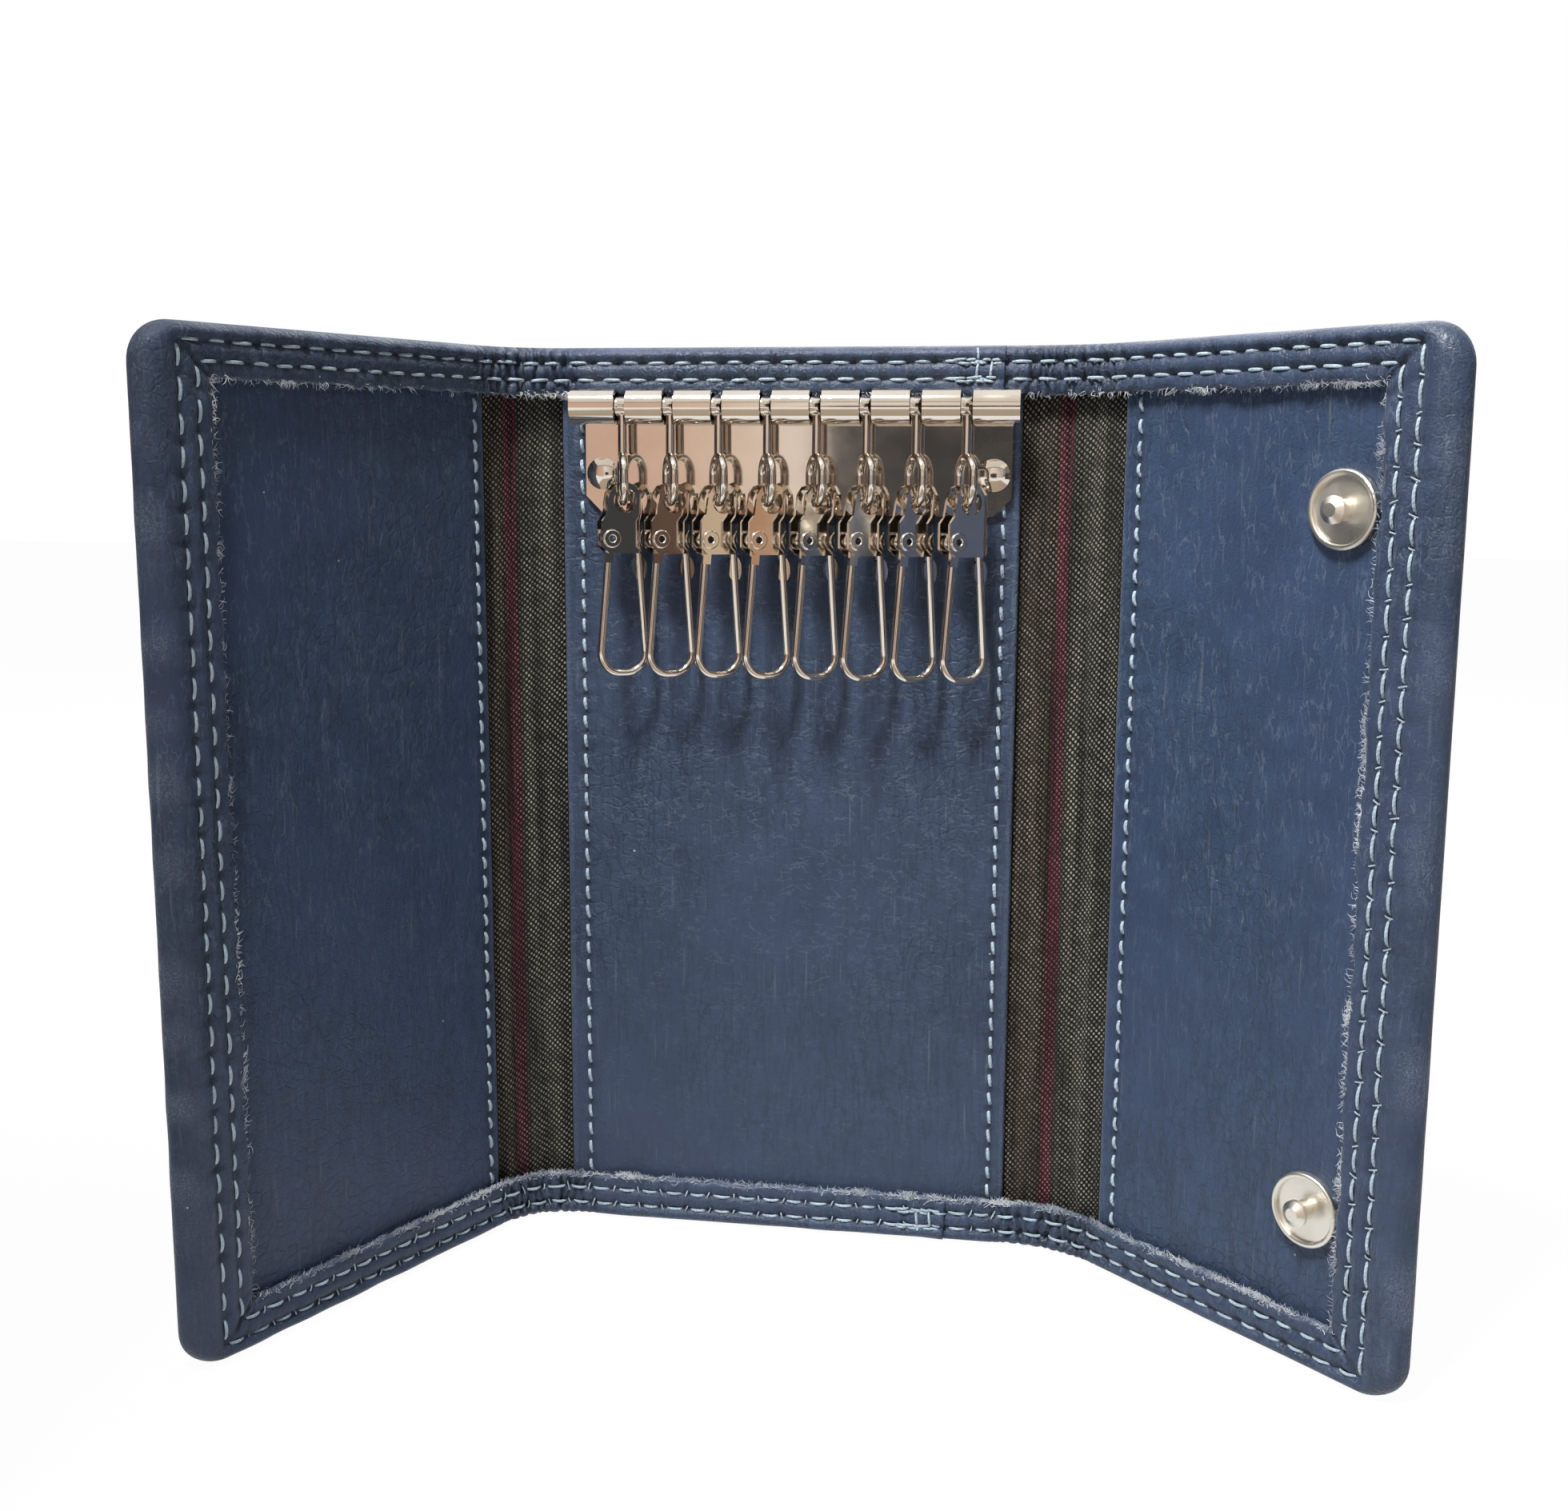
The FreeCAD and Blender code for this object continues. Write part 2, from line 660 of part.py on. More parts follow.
ring_mid = "(ring_width - link_wire) / 2"
low_arc = "-(ring_drop - link_wire / 2 - %s)" % ring_mid
high_arc = "-(ring_drop - ring_height + link_wire / 2 + %s)" % ring_mid
side_run = "ring_height - link_wire - 2 * %s" % ring_mid
quarter = 90.0
half_turn = 180.0
pieces = [
    primitive("Part::Cylinder", "link_bar", {"Radius": "head_diameter / 2", "Height": "head_straight"},
              ("-head_straight / 2", "0", "0"), VECTOR(0, 1, 0), quarter),
    primitive("Part::Sphere", "link_bar_left", {"Radius": "head_diameter / 2"}, ("-head_straight / 2", "0", "0")),
    primitive("Part::Sphere", "link_bar_right", {"Radius": "head_diameter / 2"}, ("head_straight / 2", "0", "0")),
    primitive("Part::Cylinder", "link_stem",
              {"Radius": "link_wire / 2", "Height": "ring_drop - ring_height + link_wire / 2"},
              ("0", "0", "-(ring_drop - ring_height + link_wire / 2)")),
    primitive("Part::Cylinder", "ring_front", {"Radius": "link_wire / 2", "Height": side_run},
              ("0", "-" + ring_mid, low_arc)),
    primitive("Part::Cylinder", "ring_rear", {"Radius": "link_wire / 2", "Height": side_run},
              ("0", ring_mid, low_arc)),
]
for name, height, turn in (("ring_low", low_arc, -quarter), ("ring_high", high_arc, quarter)):
    arc = primitive("Part::Torus", name, {"Radius1": ring_mid, "Radius2": "link_wire / 2"}, ("0", "0", height))
    arc.Angle3 = half_turn
    # A half ring that is swung up into the YZ plane and turned so that it opens upward or downward
    spin = FreeCAD.Rotation(ACROSS, 2 * quarter if turn < 0 else 0).multiply(
        FreeCAD.Rotation(VECTOR(0, 1, 0), quarter).multiply(FreeCAD.Rotation(UP, quarter)))
    arc.Placement = FreeCAD.Placement(VECTOR(0, 0, 0), spin)
    arc.setExpression("Placement.Base.z", e(height))
    pieces.append(arc)
link = doc.addObject("Part::MultiFuse", "link_master")
link.Shapes = pieces
link.Refine = True
doc.recompute()

# Clip: two bell-shaped plates folded from one strip, joined by a strap on the side away from the pivot
clip = new_body("clip_master")
sk = new_sketch(clip, "clip_outline", "XZ_Plane", e("-clip_depth / 2"))
bell_shares = [(0.0, 1.0), (0.6, 0.82), (0.93, 0.4), (1.0, 0.0)]
waist_shares = (0.3, 0.65)
half_bell = [
    ("%s * clip_dome" % repr(bell_shares[1][0]), "eyehole_rise + clip_rise * %s" % repr(bell_shares[1][1])),
    ("%s * clip_dome" % repr(bell_shares[2][0]), "eyehole_rise + clip_rise * %s" % repr(bell_shares[2][1])),
    ("clip_dome", "eyehole_rise"),
    (
        "clip_dome + (clip_width / 2 - clip_dome) * %s" % repr(waist_shares[0]),
        "-clip_shoulder_drop * %s" % repr(waist_shares[1]),
    ),
    ("clip_width / 2", "-clip_shoulder_drop"),
    ("clip_width / 2", "-(clip_drop - clip_corner)"),
    ("clip_width / 2 - clip_corner", "-clip_drop"),
]
mirrored = [("-(%s)" % x, z) for x, z in reversed(half_bell)]
polygon(sk, [("0", "clip_rise + eyehole_rise")] + half_bell + mirrored)
blank = pad(clip, sk, "clip_blank", "clip_depth")
strap_x = val("clip_width") / 2
rounded = fillet(clip, blank, "strap_roll", "strap_round",
                 lambda edge: along(edge, UP) and close(middle(edge).x, strap_x))
sk = new_sketch(clip, "clip_gap_outline", "XZ_Plane", e("clip_gap / 2"))
box(sk, "-(clip_width / 2 + overrun)", "clip_width / 2 - clip_plate", "-(clip_drop + overrun)", "clip_rise + overrun")
pocket(clip, sk, "clip_hollow", "clip_gap")
sk = new_sketch(clip, "clip_eyehole_outline", "XZ_Plane", e("clip_depth / 2"))
circle(sk, "0", "eyehole_rise", "eyehole_diameter")
pocket(clip, sk, "clip_eyehole", "clip_depth")
sk = new_sketch(clip, "clip_pivot_outline", "XZ_Plane", e("clip_depth / 2"))
circle(sk, "-(clip_width / 2 - pivot_inset)", "-pivot_drop", "pivot_diameter + 2 * pivot_clearance")
pocket(clip, sk, "clip_pivot_hole", "clip_depth")

# Bow: one bent wire with a flattened eye on the pivot and a flattened leaf near its free end
PIVOT = VECTOR(-(val("clip_width") / 2 - val("pivot_inset")), 0, -val("pivot_drop"))


def bend_path(spots, radius):
    """Straight runs joined by tangent arcs of one radius."""
    edges = []
    start = spots[0]
    for i in range(1, len(spots) - 1):
        to_last = (spots[i - 1] - spots[i]).normalize()
        to_next = (spots[i + 1] - spots[i]).normalize()
        half = to_last.getAngle(to_next) / 2
        back = radius / math.tan(half)
        first = spots[i] + to_last * back
        last = spots[i] + to_next * back
        bisector = (to_last + to_next).normalize()
        centre = spots[i] + bisector * (radius / math.sin(half))
        edges.append(Part.LineSegment(start, first).toShape())
        edges.append(Part.Arc(first, centre - bisector * radius, last).toShape())
        start = last
    edges.append(Part.LineSegment(start, spots[-1]).toShape())
    return Part.Wire(edges)


def tube(path, radius):
    """A round wire along a path."""
    start = path.Edges[0].valueAt(path.Edges[0].FirstParameter)
    ahead = path.Edges[0].tangentAt(path.Edges[0].FirstParameter)
    ring = Part.Wire(Part.makeCircle(radius, start, ahead))
    return path.makePipeShell([ring], True, False)


def bow_shape():
    wire = val("bow_wire")
    layer = -(val("clip_gap") / 2 - val("eye_gap") - val("eye_thickness") / 2)
    level = -(val("clip_gap") / 2 - val("eye_gap") - wire / 2)
    foot = VECTOR(-val("bow_bottom_half"), level, -val("bow_drop"))
    heel = VECTOR(val("bow_bottom_half"), level, -val("bow_drop"))
    top = VECTOR(val("bow_top_half"), level, -val("bow_end_drop"))
    eye_centre = VECTOR(PIVOT.x, level, PIVOT.z)
    down = (foot - eye_centre).normalize()
    start = eye_centre + down * val("neck_reach")
    body = tube(bend_path([start, foot, heel, top], val("bow_round")), wire / 2)
    back = VECTOR(0, val("eye_thickness"), 0)
    face = layer - val("eye_thickness") / 2
    eye = Part.makeCylinder(val("eye_diameter") / 2, val("eye_thickness"), VECTOR(PIVOT.x, face, PIVOT.z), -OUTWARD)
    side = VECTOR(down.z, 0, -down.x) * (val("eye_neck") / 2)
    root = VECTOR(PIVOT.x, face, PIVOT.z)
    end = root + down * (val("neck_reach") + wire)
    neck = Part.Face(Part.makePolygon([root + side, root - side, end - side, end + side, root + side])).extrude(back)
    leg = (top - heel).normalize()
    leaf_spot = heel + leg * ((val("bow_drop") - val("leaf_drop")) / leg.z)
    leaf_base = leaf_spot - VECTOR(0, val("leaf_thickness") / 2, 0)
    leaf_arc = Part.Ellipse(leaf_base + leg * (val("leaf_length") / 2),
                            leaf_base + VECTOR(leg.z, 0, -leg.x) * (val("leaf_width") / 2), leaf_base)
    leaf = Part.Face(Part.Wire(leaf_arc.toShape())).extrude(VECTOR(0, val("leaf_thickness"), 0))
    hole = Part.makeCylinder(val("pivot_diameter") / 2 + val("pivot_clearance"), 2 * val("clip_depth"),
                             VECTOR(PIVOT.x, -val("clip_depth"), PIVOT.z), -OUTWARD)
    return body.fuse([eye, neck, leaf]).cut(hole).removeSplitter()


def biarc(p0, t0, p1, t1):
    """Two tangent arcs from one point and heading to another."""
    v = p1 - p0
    sum_t = t0 + t1
    a = 2 * (1 - t0.dot(t1))
    b = v.dot(sum_t)
    c = v.dot(v)
    if abs(a) < NEAR:
        d = c / (4 * v.dot(t1))
    else:
        d = (-b + math.sqrt(b * b + a * c)) / a
    joint = (p0 + p1 + (t0 - t1) * d) * 0.5
    arcs = []
    for q0, t, q1 in ((p0, t0, joint), (joint, None, p1)):
        if t is None:
            chord = p1 - joint
            t = chord * (2 * chord.dot(t1) / chord.dot(chord)) - t1
        chord = q1 - q0
        normal = (chord - t * chord.dot(t))
        radius = chord.dot(chord) / (2 * normal.Length)
        centre = q0 + normal.normalize() * radius
        to_mid = ((q0 + q1) * 0.5 - centre).normalize()
        arcs.append(Part.Arc(q0, centre + to_mid * radius, q1).toShape())
    return arcs


def spring_shape():
    """A torsion spring: one turn round the pivot, with a straight leg at each end."""
    wire = val("spring_wire")
    radius = val("spring_radius")
    pitch = val("spring_pitch")
    rear = val("clip_gap") / 2 - val("spring_gap") - wire / 2
    turns = 1.0
    steps = int(4 * turns)
    spots = []
    heads = []
    for i in range(steps + 1):
        angle = math.radians(90.0 * i)
        spot = VECTOR(math.sin(angle) * radius, rear - pitch * turns * i / steps, math.cos(angle) * radius)
        head = VECTOR(math.cos(angle) * radius, -pitch / (2 * math.pi), -math.sin(angle) * radius).normalize()
        spots.append(spot + PIVOT)
        heads.append(head)
    heads[0] = VECTOR(1, 0, 0)
    heads[-1] = VECTOR(1, 0, 0)
    edges = [Part.LineSegment(spots[0] - heads[0] * val("spring_leg"), spots[0]).toShape()]
    for i in range(steps):
        edges += biarc(spots[i], heads[i], spots[i + 1], heads[i + 1])
    edges.append(Part.LineSegment(spots[-1], spots[-1] + heads[-1] * 2 * val("spring_leg")).toShape())
    path = Part.Wire(edges)
    least = spring_gap(path, wire, radius)
    print("least gap of the spring to itself: %.3f" % least)
    return tube(path, wire / 2)


def spring_gap(path, wire, radius):
    """The least gap between stretches of the spring at least half a turn apart."""
    marks = path.discretize(200)
    run = [0.0]
    for a, b in zip(marks, marks[1:]):
        run.append(run[-1] + (b - a).Length)
    least = path.Length
    for i, a in enumerate(marks):
        for j in range(i + 1, len(marks)):
            if run[j] - run[i] > math.pi * radius:
                least = min(least, (marks[j] - a).Length - wire)
    return least


def feature(name, shape, placement=None):
    """A document object with a shape, and its place after it."""
    part = doc.addObject("Part::Feature", name)
    part.Label = name
    part.Shape = shape
    if placement is not None:
        part.Placement = placement
    return part


bow = bow_shape()
spring = spring_shape()


def spun(point, axis, angle):
    """A turn about an axis through a point."""
    return FreeCAD.Placement(VECTOR(0, 0, 0), FreeCAD.Rotation(axis, angle), point)


# Everything stands on the floor, and the origin is the middle of the centre cover's lower edge
home = FreeCAD.Placement(VECTOR(0, val("rear_shift"), 0), FreeCAD.Rotation())
left_axis = VECTOR(-(val("centre_width") / 2 + val("left_fold_half")), -val("left_axis_depth"), 0)
right_axis = VECTOR(val("centre_width") / 2 + val("right_fold_half"), -val("right_axis_depth"), 0)


def wing_place(side):
    """From a wing's flat frame, whose x starts at the hinge, to its resting place."""
    axis = left_axis if side == "left" else right_axis
    turn = val("left_rest_angle") if side == "left" else -val("right_rest_angle")
    shift = FreeCAD.Placement(VECTOR(axis.x, 0, 0), FreeCAD.Rotation())
    return home.multiply(spun(axis, UP, turn)).multiply(shift)


def fold_place(side):
    sign = -1 if side == "left" else 1
    return home.multiply(FreeCAD.Placement(VECTOR(sign * val("centre_width") / 2, 0, 0), FreeCAD.Rotation()))


nodes = []
for side in ("centre", "left", "right"):
    place = home if side == "centre" else wing_place(side)
    for group in (covers, panels, linings):
        group[side].Placement = place
        nodes.append(group[side])
for side in ("left", "right"):
    for group in (fold_covers, fold_linings):
        group[side].Placement = fold_place(side)
        nodes.append(group[side])
rail.Placement = home
nodes.append(rail)

FACE_OUT = FreeCAD.Rotation(ACROSS, quarter)
FACE_BACK = FreeCAD.Rotation(ACROSS, -quarter)


def pair(name, body, spots, depth, facing, base):
    """Two alike pieces as one node."""
    shapes = []
    for x, z in spots:
        spot = VECTOR(float(sheet.evalExpression(e(x))), depth, float(sheet.evalExpression(e(z))))
        copy = body.Shape.copy()
        copy.Placement = base.multiply(FreeCAD.Placement(spot, facing)).multiply(copy.Placement)
        shapes.append(copy)
    nodes.append(feature(name, Part.makeCompound(shapes)))


pair("rail_rivets", rivet, rivet_spots, -val("plate_thickness"), FACE_OUT, home)
pair("snap_studs", stud, stud_spots, 0, FACE_OUT, wing_place("right"))
pair("stud_eyelets", eyelet, stud_spots, val("panel_leather"), FACE_BACK, wing_place("right"))
pair("snap_sockets", socket, socket_spots, val("stack"), FACE_BACK, wing_place("left"))
pair("socket_eyelets", eyelet, socket_spots, val("panel_leather"), FACE_BACK, wing_place("left"))

# The eight hooks
swing = FreeCAD.Rotation(ACROSS, -REST_SWING)
pivot_place = FreeCAD.Placement(PIVOT, FACE_OUT)
ring_low_centre = FreeCAD.Placement(VECTOR(0, 0, -(val("ring_drop") - val("link_wire") / 2)), FreeCAD.Rotation())
for i, turn in enumerate(CLIP_TURNS):
    x = (i - (COUNT - 1) / 2) * val("hook_pitch")
    spot = VECTOR(x, -val("rail_reach"), val("rail_height"))
    hang = home.multiply(FreeCAD.Placement(spot, swing))
    link_place = hang.multiply(FreeCAD.Placement(VECTOR(0, 0, 0), FreeCAD.Rotation(UP, turn - RING_LAG)))
    clip_turn = FreeCAD.Placement(VECTOR(0, 0, 0), FreeCAD.Rotation(UP, turn))
    clip_place = hang.multiply(ring_low_centre).multiply(clip_turn)
    number = i + 1
    nodes.append(feature("hook_link_%d" % number, link.Shape.copy(), link_place))
    nodes.append(feature("hook_clip_%d" % number, clip.Shape.copy(), clip_place))
    nodes.append(feature("clip_rivet_%d" % number, pivot.Shape.copy(), clip_place.multiply(pivot_place)))
    nodes.append(feature("clip_spring_%d" % number, spring.copy(), clip_place))
    nodes.append(feature("hook_bow_%d" % number, bow.copy(), clip_place))
doc.recompute()

# Every object has to be sound before anything is written
for part in doc.Objects:
    if "Invalid" in part.State or "Error" in part.State:
        raise RuntimeError("failed object: " + part.Name)
os.makedirs("parts", exist_ok=True)
for part in nodes:
    shape = part.Shape
    if shape.isNull() or not shape.isValid():
        raise RuntimeError("bad shape: " + part.Label)
    if not shape.Solids:
        raise RuntimeError("no solid: " + part.Label)
for part in nodes:
    part.Shape.exportStep("parts/%s.step" % part.Label)
print("nodes written: %d" % len(nodes))
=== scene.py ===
"""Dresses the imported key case: leather, cloth, thread and polished nickel on the frame of solids."""

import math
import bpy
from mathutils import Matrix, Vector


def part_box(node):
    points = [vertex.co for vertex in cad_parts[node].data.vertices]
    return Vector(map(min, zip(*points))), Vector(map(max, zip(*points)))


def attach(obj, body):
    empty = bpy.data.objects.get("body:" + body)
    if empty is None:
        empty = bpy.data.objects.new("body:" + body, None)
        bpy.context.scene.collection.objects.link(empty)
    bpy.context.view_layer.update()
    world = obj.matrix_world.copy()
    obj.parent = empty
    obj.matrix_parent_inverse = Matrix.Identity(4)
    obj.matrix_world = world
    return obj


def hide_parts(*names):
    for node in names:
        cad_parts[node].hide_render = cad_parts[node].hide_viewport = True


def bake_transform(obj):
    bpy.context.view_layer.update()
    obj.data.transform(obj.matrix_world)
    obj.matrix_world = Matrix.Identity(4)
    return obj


bl_info = {
    "name": "Key case",
    "version": (1, 0, 0),
    "blender": (4, 5, 0),
    "location": "View3D > Sidebar > Key case",
    "description": "Dresses the packed key case in leather, cloth, thread and nickel",
    "category": "Add Mesh",
}

import bpy
import numpy as np
from bpy.props import FloatProperty, FloatVectorProperty, IntProperty, PointerProperty
from mathutils import Matrix

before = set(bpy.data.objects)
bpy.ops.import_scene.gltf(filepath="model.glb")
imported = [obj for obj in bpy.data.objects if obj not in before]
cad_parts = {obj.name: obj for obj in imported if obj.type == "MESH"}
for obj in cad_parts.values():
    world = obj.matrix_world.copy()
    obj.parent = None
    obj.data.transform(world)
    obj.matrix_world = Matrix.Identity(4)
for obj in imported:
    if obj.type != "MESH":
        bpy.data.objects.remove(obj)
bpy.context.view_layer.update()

# Shape of the open case in millimetres, as the solids have it
MM = 0.001
CASE_HEIGHT = round(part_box("centre_cover")[1].z / MM, 3)
CENTRE_HALF = 28.85
PANEL_FACE = -0.65
BACK_FACE = 2.5
FOLDS = {
    "left": {"sign": -1, "angle": math.radians(64.0), "half": 4.5, "axis_depth": 4.2, "wing": 48.6},
    "right": {"sign": 1, "angle": math.radians(43.5), "half": 3.9, "axis_depth": 7.05, "wing": 43.9},
}
for fold in FOLDS.values():
    fold["radius"] = fold["half"] / math.tan(fold["angle"] / 2) + fold["axis_depth"]
    fold["edge"] = CENTRE_HALF + fold["radius"] * fold["angle"]
    fold["tip"] = fold["edge"] + fold["wing"]

# Where the two ends of the hem meet, how far that seam leans back at the foot and how wide the lean fades
HEM_MEET = 25.0
HEM_LEAN = 5.5
LEAN_FADE = 18.0

# Hem's section from the back sheet round the edge to the raw edge, in millimetres:
# inset at top and foot, inset at the sides, depth behind the panels' face
HEM_SECTION = [
    (9.5, 9.5, 2.50), (6.6, 8.9, 2.50), (4.9, 7.7, 2.48), (4.1, 6.9, 2.30), (3.1, 5.8, 2.52),
    (2.0, 4.6, 2.28), (1.3, 3.5, 2.55), (0.6, 1.7, 2.35), (0.15, 0.45, 1.60), (0.0, 0.0, 0.62),
    (0.15, 0.45, -0.50), (0.55, 1.5, -1.30), (1.1, 2.9, -1.68), (1.6, 3.9, -1.52), (2.0, 4.6, -1.12),
    (2.4, 5.1, -1.40), (3.05, 5.8, -1.58), (3.7, 6.4, -1.42), (4.1, 6.9, -1.12), (4.5, 7.3, -1.34),
    (5.1, 7.9, -1.34), (5.55, 8.45, -1.22), (5.78, 8.7, -1.00), (5.80, 8.72, -0.35), (5.60, 8.45, -0.06),
    (3.2, 5.9, -0.02),
]
HEM_ROWS = [(2.0, 4.6), (4.1, 6.9)]
RAW_EDGE = (5.8, 8.72)
RIM_DEPTH = 0.62
HEM_CORNER = 4.8
HEM_REACH = 9.5
ROW_TOP = -1.18
ROW_BACK = 2.32

# Uneven swells of the sheets: seed, size of the waves in millimetres and how many lie over each other
WAVES = {
    "edge": (3, 9.0, 7),
    "raw edge": (8, 3.2, 9),
    "curl": (18, 11.0, 7),
    "back": (5, 26.0, 7),
    "panel": (21, 22.0, 7),
    "pleat": (31, 40.0, 4),
}

# Steps along the case in millimetres, in the folds and beside them, and numbers of points
COVER_FINE = 0.26
COVER_COARSE = 0.55
CLOTH_FINE = 0.22
CLOTH_COARSE = 1.6
PANEL_STEP = 0.55
SIDE_POINTS = 158
CORNER_POINTS = 28
PANEL_POINTS = 300
CLOTH_POINTS = 110

# How deep the details of the cover go, in millimetres
NEEDLE_DENT = 0.26
EDGE_PULL = 0.10
CORNER_TUCK = 0.34
SIDE_TUCK = 0.16
EDGE_SWELL = 0.09
BACK_SWELL = 0.10
RAW_WAVER = 0.26
RAW_CURL = 0.22
LAP_SLIP = 0.75
LAP_LIFT = 0.32

# Where the cloth shows in each fold: from the centre panel's edge to the wing panel's
BANDS = {
    "left": (CENTRE_HALF + 1.15, FOLDS["left"]["edge"] - 1.13),
    "right": (CENTRE_HALF - 0.97, FOLDS["right"]["edge"] - 0.57),
}

# How much further along the stripe of the cloth lies in each fold
STRIPE_SHIFT = {"left": 1.5, "right": 0.7}

# Inner panels: the body that carries each, its two ends, and its sewn edges with the inset of each row
PANEL_TUCK = 7.2
PANELS = {
    "left": {
        "body": "left_wing",
        "ends": (PANEL_TUCK - FOLDS["left"]["tip"], -BANDS["left"][1]),
        "rows": [(-BANDS["left"][1], -1.55)],
    },
    "centre": {
        "body": "case",
        "ends": (-BANDS["left"][0], BANDS["right"][0]),
        "rows": [(-BANDS["left"][0], 2.55), (BANDS["right"][0], -2.0)],
    },
    "right": {
        "body": "right_wing",
        "ends": (BANDS["right"][1], FOLDS["right"]["tip"] - PANEL_TUCK),
        "rows": [(BANDS["right"][1], 2.45)],
    },
}
PANEL_END = 4.4
PANEL_ROLL = 0.9
PANEL_THICK = 0.94
PANEL_TURN = 1.6
PANEL_SWELL = 0.11
PANEL_GROOVE = 0.10
PANEL_DENT = 0.14

# Lining cloth: its depth behind the panels' face, its insets, and the pitch and depth of its pleats
CLOTH_DEPTH = 1.12
CLOTH_TUCK = 5.2
CLOTH_END = 3.0
PLEAT_PITCH = 3.4
PLEAT_DEPTH = 0.42
FINE_PITCH = 1.3
FINE_DEPTH = 0.10

# Sewn rows: how far the needle strays, where the panels' rows end and how much of each stitch shows
HEM_STRAY = 0.22
PANEL_STRAY = 0.14
ROW_FOOT = 5.6
ROW_HEAD = 6.0
FRONT_SHARE = 0.77
TIGHT_SHARE = 0.93
BACK_SHARE = 0.76
PANEL_GAP = 0.09

# Threads: share of the set thickness, how far the middle stands out and the ends dip, sides and rings
THREADS = {
    "front": (1.0, -0.22, 0.5, 8, 9),
    "back": (1.0, 0.16, 0.5, 8, 9),
    "tick": (0.5, -0.12, 0.2, 6, 6),
    "tack": (0.85, -0.22, 0.25, 8, 9),
    "panel": (1.18, -0.26, 0.5, 8, 9),
}

# How frayed each raw edge is
FRAY = {
    ("left", "top"): 0.8, ("left", "tip"): 0.7, ("left", "foot"): 2.1,
    ("right", "top"): 1.1, ("right", "tip"): 1.2, ("right", "foot"): 2.3,
}
FIBRE_TAPER = np.array([1, 1, 0.9, 0.7, 0.3])
FIBRE_REACH = (0.15, 0.95)
FIBRE_WIDTH = (0.025, 0.058)
FIBRE_SLIP = 0.55
FIBRE_RISE = 0.5
FIBRE_BOW = 0.25
TUFT_PITCH = 9
TUFT_FIBRES = 44
TUFT_SPREAD = (0.4, 1.8)

# Camera that was fitted to the photo: pixels, metres and radians
PHOTO_WIDTH = 1960.0
PHOTO_FOCAL = 2193.65
SENSOR = 36.0
CAMERA_PLACE = (0.0338848, -0.2197397, 0.0998201)
CAMERA_TURN = 0.159309
CAMERA_DIP = 0.160743
CAMERA_ROLL = 0.005093

# Lamps: place and aim in metres, size, power and colour
LAMPS = [
    ("key_lamp", (-0.10, -0.25, 0.56), (0.0, -0.01, 0.06), 0.10, 7.7, (1.0, 0.975, 0.94)),
    ("fill_lamp", (0.40, -0.40, 0.30), (0.0, -0.01, 0.06), 0.36, 0.06, (1.0, 0.965, 0.93)),
    ("back_lamp", (0.05, 0.50, 0.42), (0.0, 0.0, 0.06), 0.40, 1.8, (1.0, 0.985, 0.965)),
]
FLOOR_HALF = 2000

# Glowing cards that only mirrors see, painted reflections on the metal: a corner and two edges in
# millimetres, and the tones along the first edge
REFLECTION_CARDS = [
    ("room_card", (-1400, -950, 2), (2800, 0, 0), (0, 0, 618), [
        (0.0, (0.20, 0.19, 0.18)), (1.0, (0.17, 0.17, 0.18)),
    ]),
    ("upper_card", (-1600, -940, 620), (3200, 0, 0), (0, 0, 2380), [
        (0.0, (0.80, 0.75, 0.67)), (1.0, (0.72, 0.67, 0.60)),
    ]),
    ("table_card", (-100, -330, 0.5), (260, 0, 0), (0, 270, 0), [
        (0.0, (0.45, 0.37, 0.28)), (1.0, (0.40, 0.33, 0.26)),
    ]),
    ("studio_card", (-420, -670, 20), (840, 0, 0), (0, 0, 400), [
        (0.0, (0.55, 0.38, 0.30)), (0.29, (0.70, 0.485, 0.386)), (0.35, (0.80, 0.66, 0.547)),
        (0.376, (0.92, 0.81, 0.744)), (0.50, (0.85, 0.74, 0.66)), (1.0, (0.40, 0.35, 0.31)),
    ]),
    ("left_card", (-700, 500, 2), (0, -1440, 0), (0, 0, 698), [
        (0.0, (0.10, 0.08, 0.065)), (1.0, (0.05, 0.042, 0.036)),
    ]),
    ("right_card", (800, -940, 2), (0, 1440, 0), (0, 0, 698), [
        (0.0, (0.05, 0.042, 0.036)), (1.0, (0.10, 0.08, 0.065)),
    ]),
    ("dark_card", (-79.7, -600, 55), (149.7, 0, 0), (0, 0, 83), [
        (0.0, (0.024, 0.025, 0.028)), (1.0, (0.030, 0.028, 0.028)),
    ]),
    ("copper_card", (470, -170, -5), (-150, -210, 0), (0, 0, 170), [
        (0.0, (0.62, 0.50, 0.36)), (0.19, (0.62, 0.50, 0.36)), (0.21, (0.50, 0.28, 0.165)),
        (0.30, (0.43, 0.238, 0.141)), (0.34, (0.093, 0.048, 0.032)), (0.55, (0.093, 0.048, 0.032)),
        (0.66, (0.023, 0.026, 0.032)), (1.0, (0.023, 0.026, 0.032)),
    ]),
]

# Black flags that keep the light off the wings: a corner and two edges in millimetres
BLACK = [(0.0, (0.0, 0.0, 0.0)), (1.0, (0.0, 0.0, 0.0))]
FLAGS = [
    ("left_flag", (-190, -118, 0), (122, 6, 0), (0, 0, 300), BLACK),
    ("right_flag", (88, -62, 0), (-14, -138, 0), (0, 0, 260), BLACK),
]


